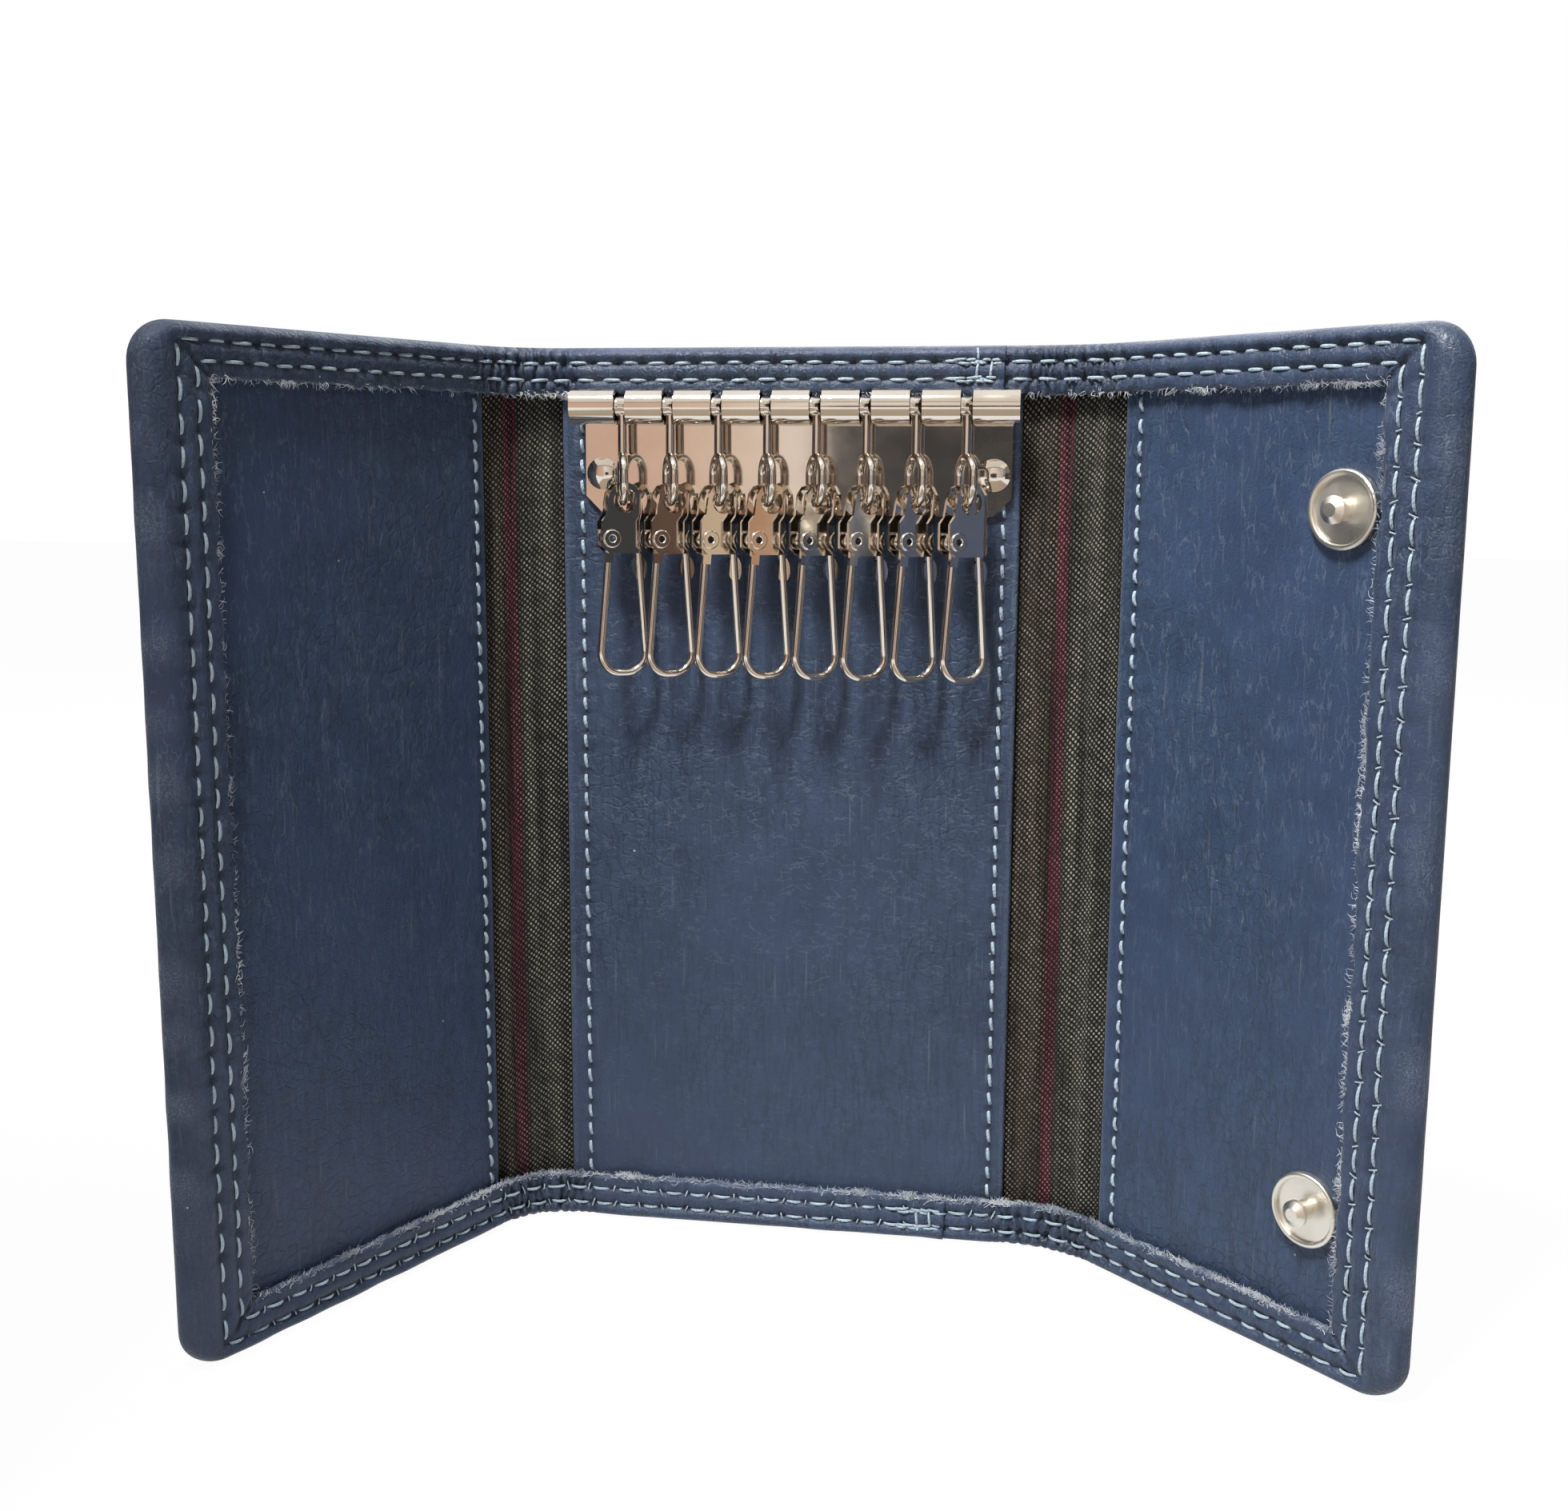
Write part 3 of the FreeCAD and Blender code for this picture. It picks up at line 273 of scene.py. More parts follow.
def flat_to_open(s, z, w):
    """Points of the open case from its flat sheet: s along it, z up it, w behind the panels' face."""
    s, z, w = np.broadcast_arrays(np.asarray(s, float), np.asarray(z, float), np.asarray(w, float))
    x = s.copy()
    y = PANEL_FACE + w
    for fold in FOLDS.values():
        past = fold["sign"] * s - CENTRE_HALF
        turn = np.clip(past / fold["radius"], 0.0, fold["angle"])
        straight = past - fold["radius"] * turn
        reach = fold["radius"] + w
        bent_x = CENTRE_HALF + reach * np.sin(turn) + straight * np.cos(turn)
        bent_y = PANEL_FACE - fold["radius"] + reach * np.cos(turn) - straight * np.sin(turn)
        x = np.where(past > 0, fold["sign"] * bent_x, x)
        y = np.where(past > 0, bent_y, y)
    return np.stack([x, y, z], -1)


def smooth_step(value, low, high):
    """0 below low, 1 above high, and a soft rise between."""
    t = np.clip((np.asarray(value, float) - low) / (high - low), 0.0, 1.0)
    return t * t * (3 - 2 * t)


def bell(value, width):
    """1 at 0, with a soft fall on both sides."""
    return np.exp(-((value / width) ** 2))


def soft_waves(a, b, kind, number=0):
    """A gentle uneven swell over a sheet, about -1 to 1."""
    seed, size, count = WAVES[kind]
    rng = np.random.default_rng(seed + number)
    total = np.zeros(np.broadcast(a, b).shape)
    for _ in range(count):
        angle = rng.uniform(0, 2 * math.pi)
        length = size * rng.uniform(0.6, 1.7)
        phase = rng.uniform(0, 2 * math.pi)
        total = total + np.sin((a * math.cos(angle) + b * math.sin(angle)) * 2 * math.pi / length + phase)
    return total / math.sqrt(count * 2)


def gap_to(marks, value):
    """How far each value is from the nearest mark."""
    right = np.clip(np.searchsorted(marks, value), 1, len(marks) - 1)
    return np.minimum(np.abs(value - marks[right - 1]), np.abs(value - marks[right]))


def needle_marks(low, high, pitch, seed, stray):
    """Needle holes along a row, evenly sewn by hand and eye."""
    count = max(2, round((high - low) / pitch))
    marks = np.linspace(low, high, count + 1)
    rng = np.random.default_rng(seed)
    marks[1:-1] += rng.uniform(-stray, stray, count - 1)
    return marks


def mesh_piece(name, material, points, faces, layers=None, uv=None):
    """A smooth mesh object of one material, from points in millimetres."""
    mesh = bpy.data.meshes.new(name)
    points = np.asarray(points, float).reshape(-1, 3) * MM
    mesh.from_pydata(points.tolist(), [], [tuple(int(i) for i in f) for f in faces])
    mesh.polygons.foreach_set("use_smooth", np.ones(len(mesh.polygons), bool))
    for key, values in (layers or {}).items():
        layer = mesh.attributes.new(key, "FLOAT", "POINT")
        layer.data.foreach_set("value", np.asarray(values, np.float32).ravel())
    if uv is not None:
        layer = mesh.uv_layers.new(name="sheet")
        corner = np.zeros(len(mesh.loops), np.int32)
        mesh.loops.foreach_get("vertex_index", corner)
        layer.data.foreach_set("uv", np.asarray(uv, np.float32).reshape(-1, 2)[corner].ravel())
    mesh.update()
    mesh.materials.append(material)
    piece = bpy.data.objects.new(name, mesh)
    bpy.context.scene.collection.objects.link(piece)
    return piece


def grid_faces(rows, columns, flip=False):
    """Quads of a grid whose points run row by row."""
    r, c = np.meshgrid(np.arange(rows - 1), np.arange(columns - 1), indexing="ij")
    a = (r * columns + c).ravel()
    quads = np.stack([a, a + 1, a + columns + 1, a + columns], -1)
    return quads[:, ::-1] if flip else quads


def tube_faces(count, rings, sides):
    """Quads of as many tubes, whose points run ring by ring."""
    base = np.arange(count) * rings * sides
    faces = []
    for ring in range(0, (rings - 1) * sides, sides):
        for k in range(sides):
            n = (k + 1) % sides
            corners = (ring + k, ring + n, ring + sides + n, ring + sides + k)
            faces.append(np.stack([base + corner for corner in corners], -1))
    return np.vstack(faces)


def hem_levels(fine):
    """The hem's section as a smooth line through its points, with as many steps between."""
    knots = np.array(HEM_SECTION)
    ends = np.vstack([2 * knots[0] - knots[1], knots, 2 * knots[-1] - knots[-2]])
    levels = []
    for p0, p1, p2, p3 in zip(ends, ends[1:], ends[2:], ends[3:]):
        for t in np.arange(fine) / fine:
            square = (2 * p0 - 5 * p1 + 4 * p2 - p3) * t**2
            cube = (3 * p1 - p0 - 3 * p2 + p3) * t**3
            levels.append(0.5 * (2 * p1 + (p2 - p0) * t + square + cube))
    return np.array(levels + [knots[-1]])


def leaned(s, z):
    """Places along the sheet, moved by the lean of the hem's seam."""
    return s - HEM_LEAN * (1 - z / CASE_HEIGHT) * np.maximum(0, 1 - np.abs(s - HEM_MEET) / LEAN_FADE)


def corner_path(tip, inset_z, inset_x, bend, share):
    """Points round an upper corner of one ring of the hem, at shares from 0 to 1 of its way."""
    top = CASE_HEIGHT - inset_z
    arc = np.linspace(math.pi / 2, 0, 17)
    centre = np.array([tip - inset_x - bend, top - bend])
    bow = centre + bend * np.stack([np.cos(arc), np.sin(arc)], -1)
    first = np.vstack([[tip - HEM_REACH, top], bow[:9]])
    second = np.vstack([bow[8:], [tip - inset_x, CASE_HEIGHT - HEM_REACH]])
    spots = []
    for part, at in ((first, share[share <= 0.5] * 2), (second, share[share > 0.5] * 2 - 1)):
        run = np.concatenate([[0], np.cumsum(np.linalg.norm(np.diff(part, axis=0), axis=1))])
        run = run / max(run[-1], 1e-9)
        spots.append(np.stack([np.interp(at, run, part[:, 0]), np.interp(at, run, part[:, 1])], -1))
    return np.vstack(spots)


def stations_along(side):
    """Steps along the top of one half of the cover, close together at the fold."""
    fold = FOLDS[side]
    stop = fold["tip"] - HEM_REACH
    marks = [fold["sign"] * HEM_MEET]
    while marks[-1] < stop - 0.3:
        at = marks[-1]
        close = CENTRE_HALF - 2.5 < at < fold["edge"] + 2.0
        marks.append(min(at + (COVER_FINE if close else COVER_COARSE), stop))
    marks[-1] = stop
    return np.array(marks)


def row_holes(side):
    """Needle holes of the hem rows of one half: at the top, foot and tip, row by row."""
    sizes = bpy.context.scene.key_case_sizes
    pitch = sizes.hem_stitch / MM
    fold = FOLDS[side]
    first = sizes.seed + (1000 if side == "left" else 0)
    holes = {}
    for row, (inset_z, inset_x) in enumerate(HEM_ROWS):
        for number, edge in enumerate(("top", "foot")):
            meet = fold["sign"] * (HEM_MEET - (HEM_LEAN if edge == "foot" else 0.0)) + 0.9
            seed = first + 11 * row + 101 * number
            holes[edge, row] = needle_marks(meet, fold["tip"] - inset_x, pitch, seed, HEM_STRAY)
        seed = first + 500 + 11 * row
        holes["tip", row] = needle_marks(inset_z, CASE_HEIGHT - inset_z, pitch * 1.04, seed, HEM_STRAY)
    return holes


def gather_marks(side, edge):
    """Creases where the hem bunches inside a fold: place, depth and width of each."""
    fold = FOLDS[side]
    seed = 40 + (7 if side == "left" else 0) + (3 if edge == "foot" else 0)
    rng = np.random.default_rng(seed)
    marks = []
    at = CENTRE_HALF - 3.2
    while at < fold["edge"] + 1.8:
        inside = smooth_step(at, CENTRE_HALF - 3.6, CENTRE_HALF + 1.0)
        inside = inside * (1 - smooth_step(at, fold["edge"] - 2.0, fold["edge"] + 2.2))
        marks.append((at, rng.uniform(0.34, 0.75) * inside, rng.uniform(0.20, 0.34)))
        at += rng.uniform(0.9, 1.6)
    return marks


def hem_rings(tip, along, up, share, levels):
    """Rings of a half's hem in the flat sheet, with the edge that each place is on and how near a mitre."""
    ends, corner, rise = len(along), len(share), len(up)
    edge = np.repeat(["top", "corner", "tip", "corner", "foot"], [ends, corner, rise, corner, ends])
    nearness = 1 - np.abs(share - 0.5) * 2
    mitre = np.concatenate([np.zeros(ends), nearness, np.zeros(rise), nearness, np.zeros(ends)])
    t, z = [], []
    for i, (inset_z, inset_x, _) in enumerate(levels):
        bend = max(HEM_CORNER - 0.95 * max(inset_z, inset_x), 0.35 if i else 0.0)
        bend = min(bend, HEM_REACH - inset_x, HEM_REACH - inset_z)
        turn = corner_path(tip, inset_z, inset_x, max(bend, 0.0), share)
        outer = np.full(rise, tip - inset_x)
        t.append(np.concatenate([along, turn[:, 0], outer, turn[::-1, 0], along[::-1]]))
        foot = np.full(ends, inset_z)
        z.append(np.concatenate([CASE_HEIGHT - foot, turn[:, 1], up, CASE_HEIGHT - turn[::-1, 1], foot]))
    return np.array(t), np.array(z), edge, mitre


def hem_dents(side, t, z, edge, mitre, depth, front):
    """How far the hem is pressed in: at the needle holes, in the folds' creases and the corners' tucks."""
    sink = np.zeros_like(t)
    for (where, row), marks in row_holes(side).items():
        on = edge == where
        gap = gap_to(marks, (z if where == "tip" else t)[:, on])
        sink[:, on] += NEEDLE_DENT * bell(depth - HEM_ROWS[row][0], 0.75) * bell(gap, 0.42)
        if row == 0:
            sink[:, on] += EDGE_PULL * bell(gap, 0.3) * smooth_step(depth, 0.2, 1.2)
    for where in ("top", "foot"):
        on = edge == where
        for at, deep, wide in gather_marks(side, where):
            slant = at + 0.25 * np.sin(depth * 1.3 + at)
            sink[:, on] += front[:, on] * deep * bell(t[:, on] - slant, wide)
    corner = edge == "corner"
    sink += front * CORNER_TUCK * bell(1 - mitre, 0.13) * corner * smooth_step(depth, 1.2, 3.0)
    sink += front * SIDE_TUCK * bell(mitre - 0.55, 0.10) * corner * smooth_step(depth, 0.6, 2.4)
    return sink


def cover_faces(side, levels, top_count, side_count, corner_count):
    """Faces of a half: its back sheet, the hem round it and the hem's two cut ends."""
    sheet = np.arange(top_count * side_count).reshape(top_count, side_count)
    first_ring = np.concatenate([
        sheet[:, 0], np.full(corner_count, sheet[-1, 0]), sheet[-1, :],
        np.full(corner_count, sheet[-1, -1]), sheet[::-1, -1],
    ])
    width = len(first_ring)
    later = sheet.size + np.arange((len(levels) - 1) * width).reshape(-1, width)
    rings = np.vstack([first_ring, later])
    faces = [list(f) for f in grid_faces(top_count, side_count, side == "left")]
    for near, far in zip(rings, rings[1:]):
        for j in range(width - 1):
            quad = list(dict.fromkeys([near[j], near[j + 1], far[j + 1], far[j]]))
            if len(quad) > 2:
                faces.append(quad if side == "right" else quad[::-1])
    rim = int(np.argmin(levels[:, 0]))
    cut = [i for i in range(len(levels)) if levels[i, 2] < RIM_DEPTH or i == rim]
    return faces + [rings[cut, 0], rings[cut, -1]]


def cover_half(side):
    """One half of the leather cover: its back sheet, rolled edge and hem, laid in the open case."""
    sign, tip = FOLDS[side]["sign"], FOLDS[side]["tip"]
    number = 0 if side == "left" else 1
    levels = hem_levels(2)
    along = stations_along(side)
    up = np.linspace(CASE_HEIGHT - HEM_REACH, HEM_REACH, SIDE_POINTS)
    share = np.linspace(0, 1, CORNER_POINTS)[1:-1]
    t, z, edge, mitre = hem_rings(tip, along, up, share, levels)
    depth = levels[:, 0:1]
    w = np.repeat(levels[:, 2:3], t.shape[1], 1)
    front = smooth_step(-w, -0.9, 0.6)
    face = np.clip((w - RIM_DEPTH) / 1.2, -1, 1)

    # The seam leans, and its left end laps over the right one
    s = leaned(sign * t, z)
    meet = HEM_MEET - HEM_LEAN * (1 - z / CASE_HEIGHT)
    near = smooth_step(np.abs(s - meet), 2.2, 0.0) * smooth_step(-w, -1.2, 0.0)
    lap = near if side == "left" else 0 * near
    t = sign * (s + LAP_SLIP * lap)
    sink = hem_dents(side, t, z, edge, mitre, depth, front)
    w = w - face * sink

    # Uneven rolling of the edge and a wavering raw edge
    run = np.where(edge == "tip", z, t)
    swell = soft_waves(run, depth * 2.0, "edge", number)
    w = w + face * EDGE_SWELL * swell * smooth_step(HEM_REACH - depth, 0.5, 4.0)
    ragged = smooth_step(depth, 4.5, 5.7) * front
    waver = RAW_WAVER * soft_waves(run, 0 * run, "raw edge", number) * ragged
    curl = np.maximum(0, soft_waves(run, 0 * run, "curl", number))
    t = t - np.where(edge == "tip", waver, 0.0)
    z = z + np.where(edge == "foot", waver, 0.0) - np.where(edge == "top", waver, 0.0)
    w = w - RAW_CURL * curl * ragged - LAP_LIFT * lap * front
    wear = smooth_step(1.4 - np.abs(depth), 0.0, 1.4) * smooth_step(swell, -0.6, 1.2) * 0.8
    wear = np.maximum(wear, ragged * smooth_step(depth, 5.5, 5.75))
    # Painted shade: the hem's colour is darkened where it is pressed in, at needle holes, gathers and
    # corner tucks
    crease_shade = np.clip(sink * 2.2, 0, 1)

    # Back sheet inside the hem, sharing the hem's first ring
    grid_t, grid_z = np.meshgrid(along, up, indexing="ij")
    grid_s = leaned(sign * grid_t, grid_z)
    rim = np.minimum(np.minimum(CASE_HEIGHT - grid_z, grid_z), tip - grid_t) - HEM_REACH
    grid_w = BACK_FACE + BACK_SWELL * soft_waves(grid_s, grid_z, "back") * smooth_step(rim, 0.0, 8.0)
    grid = flat_to_open(grid_s, grid_z, grid_w)
    hem = flat_to_open(sign * t, z, w)
    points = np.vstack([grid.reshape(-1, 3), hem[1:].reshape(-1, 3)])
    faces = cover_faces(side, levels, *grid_s.shape, len(share))
    plain = np.zeros(grid_s.size)
    marked = {"wear": wear, "crease_shade": crease_shade}
    layers = {key: np.concatenate([plain, value[1:].ravel()]) for key, value in marked.items()}
    return points, faces, layers


def panel_rows(side):
    """Each sewn row of a panel: its place along the case and its needle holes."""
    sizes = bpy.context.scene.key_case_sizes
    rows = []
    for number, (edge, inset) in enumerate(PANELS[side]["rows"]):
        seed = sizes.seed + 300 + 17 * number + len(side)
        pitch = sizes.panel_stitch / MM
        marks = needle_marks(ROW_FOOT, CASE_HEIGHT - ROW_HEAD, pitch, seed, PANEL_STRAY)
        rows.append((edge + inset, marks))
    return rows


def turned_edge():
    """A panel's turned edge, from its face round to its back: inset and depth of each place."""
    rows = []
    for angle in np.linspace(0, math.pi, 9)[1:]:
        inset = PANEL_ROLL - PANEL_ROLL * math.sin(angle) ** 0.6 if angle < math.pi / 2 else 0.02
        rows.append((inset, PANEL_THICK / 2 * (1 - math.cos(angle))))
    return rows + [(PANEL_TURN, PANEL_THICK)]


def panel_sheet(side):
    """A leather panel with turned and sewn edges at the folds, tucked under the hem elsewhere."""
    low, high = PANELS[side]["ends"]
    turned_low = side != "left"
    turned_high = side != "right"
    start = low + (PANEL_ROLL if turned_low else 0)
    stop = high - (PANEL_ROLL if turned_high else 0)
    places = [(at, 0.0) for at in np.linspace(start, stop, round((high - low) / PANEL_STEP))]
    if turned_high:
        places = places + [(high - inset, deep) for inset, deep in turned_edge()]
    if turned_low:
        places = [(low + inset, deep) for inset, deep in reversed(turned_edge())] + places
    s, w = np.array(places).T
    up = np.linspace(PANEL_END, CASE_HEIGHT - PANEL_END, PANEL_POINTS)
    s, z = np.meshgrid(s, up, indexing="ij")
    w = np.repeat(w[:, None], z.shape[1], 1)
    on_face = np.where(w > 0, 0.0, 1.0)
    wear = (1 - on_face) * 0.5
    crease_shade = np.zeros_like(w)
    inner = np.ones_like(w)
    for at, marks in panel_rows(side):
        off = np.abs(s - at)
        groove = bell(off, 0.42)
        dent = bell(gap_to(marks, z), 0.4) * bell(off, 0.75)
        w = w + on_face * (PANEL_GROOVE * groove + PANEL_DENT * dent)
        # Painted shade: the panel's colour is darkened along the stitch grooves and at the needle dents
        crease_shade = np.maximum(crease_shade, on_face * (0.25 * groove + 0.9 * dent))
        inner = inner * smooth_step(off, 0.5, 4.0)
    swell = 0.5 + 0.5 * np.clip(soft_waves(s, z, "panel", len(side)), -1, 1)
    w = w + on_face * inner * PANEL_SWELL * swell
    return flat_to_open(s, z, w), grid_faces(*s.shape), {"wear": wear, "crease_shade": crease_shade}


def cloth_half(side):
    """One half of the lining cloth, from the middle of the case to a tip, with soft pleats in the fold."""
    fold = FOLDS[side]
    sign = fold["sign"]
    t = [0.0]
    while t[-1] < fold["tip"] - CLOTH_TUCK:
        close = CENTRE_HALF - 2.0 < t[-1] < fold["edge"] + 2.0
        t.append(t[-1] + (CLOTH_FINE if close else CLOTH_COARSE))
    up = np.linspace(CLOTH_END, CASE_HEIGHT - CLOTH_END, CLOTH_POINTS)
    t, z = np.meshgrid(np.array(t), up, indexing="ij")
    first, last = BANDS[side]
    inside = smooth_step(t, first - 0.2, first + 2.2) * (1 - smooth_step(t, last - 2.2, last + 0.2))
    across = t + 0.5 * soft_waves(z, 0 * z, "pleat", 0 if side == "left" else 1)
    pleat = 0.5 + 0.5 * np.sin(across * 2 * math.pi / PLEAT_PITCH + 0.6)
    fine = 0.5 + 0.5 * np.sin(across * 2 * math.pi / FINE_PITCH + 2.0 * np.sin(z / 17.0))
    w = CLOTH_DEPTH - inside * (PLEAT_DEPTH * pleat + FINE_DEPTH * fine)
    points = flat_to_open(sign * t, z, w)
    start = -fold["edge"] if side == "left" else CENTRE_HALF
    uv = np.stack([sign * t - start - STRIPE_SHIFT[side], z], -1)
    size = (float(t.max()) * MM, float(z.max() - z.min()) * MM)
    return points, grid_faces(*t.shape, side == "left"), uv * MM, size


def thread_tubes(ends, kind):
    """Stitches as bent threads in the flat sheet: each row of ends is s, z, w, s, z, w of its two holes."""
    share, lift, dip, sides, rings = THREADS[kind]
    radius = bpy.context.scene.key_case_sizes.thread / MM / 2 * share
    ends = np.array(ends, float)
    a, b = ends[:, None, :3], ends[:, None, 3:]
    q = np.linspace(0, 1, rings)
    spot = a + (b - a) * q[None, :, None]
    rise = np.sin(math.pi * q) ** 0.55
    spot[..., 2] += lift * rise - np.sign(lift) * dip * (1 - rise)
    way = b - a
    way = way[..., :2] / np.maximum(np.linalg.norm(way[..., :2], axis=-1, keepdims=True), 1e-9)
    across = np.concatenate([-way[..., 1:2], way[..., 0:1], 0 * way[..., :1]], -1)
    angle = np.linspace(0, 2 * math.pi, sides, endpoint=False)
    thick = radius * (0.72 + 0.28 * rise)
    ring = (across[:, :, None, :] * np.cos(angle)[None, None, :, None]
            + np.array([0, 0, 1.0]) * 0.85 * np.sin(angle)[None, None, :, None])
    points = spot[:, :, None, :] + thick[None, :, None, None] * ring
    laid = flat_to_open(*np.moveaxis(points, -1, 0)).reshape(-1, 3)
    length = np.linalg.norm(ends[:, 3:] - ends[:, :3], axis=1)
    uv = np.zeros((len(ends), rings, sides, 2))
    uv[..., 0] = (q[None, :] * length[:, None])[:, :, None]
    uv[..., 1] = (angle / (2 * math.pi))[None, None, :]
    return laid, tube_faces(len(ends), rings, sides), uv.reshape(-1, 2) * MM


def joined(parts):
    """Several sets of points, faces and sheet places as one."""
    points, faces, uv = zip(*parts)
    starts = np.cumsum([0] + [len(p) for p in points])
    return np.vstack(points), np.vstack([f + start for f, start in zip(faces, starts)]), np.vstack(uv)


def hem_spot(where, sign, run, level, depth):
    """A place on the hem: how far along its edge, at what level across it and how deep."""
    return (sign * level, run, depth) if where == "tip" else (sign * run, level, depth)


def row_stitches(fixed, marks, where, depth, share, seed, sign):
    """Ends of the stitches of one row, from hole to hole, with a hand's slight unevenness."""
    rng = np.random.default_rng(seed)
    ends = []
    for low, high in zip(marks[:-1], marks[1:]):
        gap = (high - low) * (1 - share) / 2
        a = low + gap * rng.uniform(0.8, 1.2)
        b = high - gap * rng.uniform(0.8, 1.2)
        off = fixed + rng.uniform(-0.09, 0.09, 2)
        ends.append(hem_spot(where, sign, a, off[0], depth) + hem_spot(where, sign, b, off[1], depth))
    return ends


def hem_thread(side):
    """All stitches of one half's hem, on its front and its back, with the ticks at the needle holes."""
    fold = FOLDS[side]
    sign = fold["sign"]
    front, back, ticks = [], [], []
    for (where, row), marks in row_holes(side).items():
        inset_z, inset_x = HEM_ROWS[row]
        fixed = {"top": CASE_HEIGHT - inset_z, "foot": inset_z, "tip": fold["tip"] - inset_x}[where]
        seed = 70 + row + 5 * len(where) + (40 if side == "left" else 0)
        tight = where == "tip" and side == "right"
        share = TIGHT_SHARE if tight else FRONT_SHARE
        front += row_stitches(fixed, marks, where, ROW_TOP, share, seed, sign)
        back += row_stitches(fixed, marks, where, ROW_BACK, BACK_SHARE, seed + 500, sign)
        if not (tight or where == "foot"):
            continue
        rng = np.random.default_rng(seed + 900)
        for at in marks[1:-1]:
            if where == "foot" and side == "right" and at > CENTRE_HALF:
                continue
            lean = rng.uniform(0.15, 0.5) * rng.choice([-1, 1])
            half = rng.uniform(0.42, 0.78)
            ticks.append(hem_spot(where, sign, at - lean * half, fixed - half, ROW_TOP)
                         + hem_spot(where, sign, at + lean * half, fixed + half, ROW_TOP))
    return joined([thread_tubes(front, "front"), thread_tubes(back, "back"), thread_tubes(ticks, "tick")])


def tack_thread():
    """The doubled stitches and crossing threads where the hem's ends meet, at the top and foot."""
    rng = np.random.default_rng(bpy.context.scene.key_case_sizes.seed + 77)
    ends = []
    for edge in ("top", "foot"):
        meet = HEM_MEET - (HEM_LEAN if edge == "foot" else 0.0)
        insets = [0.35] + [inset for inset, _ in HEM_ROWS]
        rim, *rows = [CASE_HEIGHT - inset if edge == "top" else inset for inset in insets]
        over = ROW_TOP - 0.16
        for level in rows:
            at = meet - 5.6
            while at < meet - 0.6:
                step = rng.uniform(1.1, 1.9)
                for off in (-0.22, 0.2):
                    jog = level + off + rng.uniform(-0.12, 0.12, 2)
                    slip = at + rng.uniform(-0.4, 0.4)
                    ends.append((slip, jog[0], over, slip + step, jog[1], over))
                at += step
        cross = meet - 2.7
        over = ROW_TOP - 0.25
        ends.append((cross, rim, -1.15, cross + 0.2, rows[0], ROW_TOP - 0.3))
        ends.append((cross + 0.1, rows[0], over, cross - 0.05, rows[1], over))
        ends.append((meet - 0.9, rows[0], over, meet - 1.1, rows[1], over))
    return thread_tubes(ends, "tack")


def panel_thread(side):
    """The stitches of a panel's sewn edges, slanted a little from hole to hole."""
    sizes = bpy.context.scene.key_case_sizes
    ends = []
    for at, marks in panel_rows(side):
        rng = np.random.default_rng(sizes.seed + 400 + int(abs(at) * 7))
        for low, high in zip(marks[:-1], marks[1:]):
            gap = (high - low) * PANEL_GAP
            slant = 0.16 + rng.uniform(-0.06, 0.06)
            ends.append((at + slant, low + gap, 0.12, at - slant, high - gap, 0.12))
    return thread_tubes(ends, "panel")


def unit(way):
    """Directions of length 1."""
    return way / np.maximum(np.linalg.norm(way, axis=-1, keepdims=True), 1e-9)


def hem_fibres(side):
    """Loose fibres along the hem's raw edge, thin and pale, thicker in tufts."""
    sizes = bpy.context.scene.key_case_sizes
    sign, tip = FOLDS[side]["sign"], FOLDS[side]["tip"]
    rng = np.random.default_rng(sizes.seed + (55 if side == "left" else 56))
    inset_z, inset_x = RAW_EDGE
    runs = [
        ("top", sign * HEM_MEET, tip - inset_x, CASE_HEIGHT - inset_z, -1),
        ("tip", inset_z, CASE_HEIGHT - inset_z, tip - inset_x, -1),
        ("foot", sign * (HEM_MEET - HEM_LEAN), tip - inset_x, inset_z, 1),
    ]
    q = np.linspace(0, 1, len(FIBRE_TAPER))
    paths, widths = [], []
    for where, low, high, fixed, inward in runs:
        rough = FRAY[side, where]
        spots = rng.uniform(low, high, int((high - low) * sizes.fibres * rough))
        tufts = rng.uniform(low, high, max(3, int((high - low) / TUFT_PITCH)))
        thick = round(TUFT_FIBRES * rough)
        tuft_spots = [rng.normal(at, rng.uniform(*TUFT_SPREAD), thick) for at in tufts]
        for at in np.clip(np.concatenate([spots, *tuft_spots]), low, high):
            out = rng.uniform(*FIBRE_REACH) * rng.choice([1, 1, 1, -0.5])
            slip = rng.normal(0, FIBRE_SLIP)
            up = rng.uniform(0.0, FIBRE_RISE)
            bow = rng.normal(0, FIBRE_BOW)
            run = at + slip * q + bow * np.sin(q * math.pi)
            level = fixed + inward * (-0.15 + out * q + 0.1 * np.sin(q * 5 + at))
            deep = -0.75 - up * np.sin(q * 2.2) + 0.2 * rng.normal()
            paths.append(hem_spot(where, sign, run, level, deep))
            widths.append(rng.uniform(*FIBRE_WIDTH))
    laid = flat_to_open(*np.moveaxis(np.array(paths), 1, 0))
    way = unit(np.gradient(laid, axis=1))
    side_way = unit(np.cross(way, np.array([0.31, 0.85, 0.42])))
    third = np.cross(way, side_way)
    angle = np.array([0, 2 * math.pi / 3, 4 * math.pi / 3])
    ring = side_way[:, :, None] * np.cos(angle)[:, None] + third[:, :, None] * np.sin(angle)[:, None]
    points = laid[:, :, None] + ring * (np.array(widths)[:, None] * FIBRE_TAPER)[:, :, None, None]
    return points, tube_faces(len(paths), len(q), len(angle))


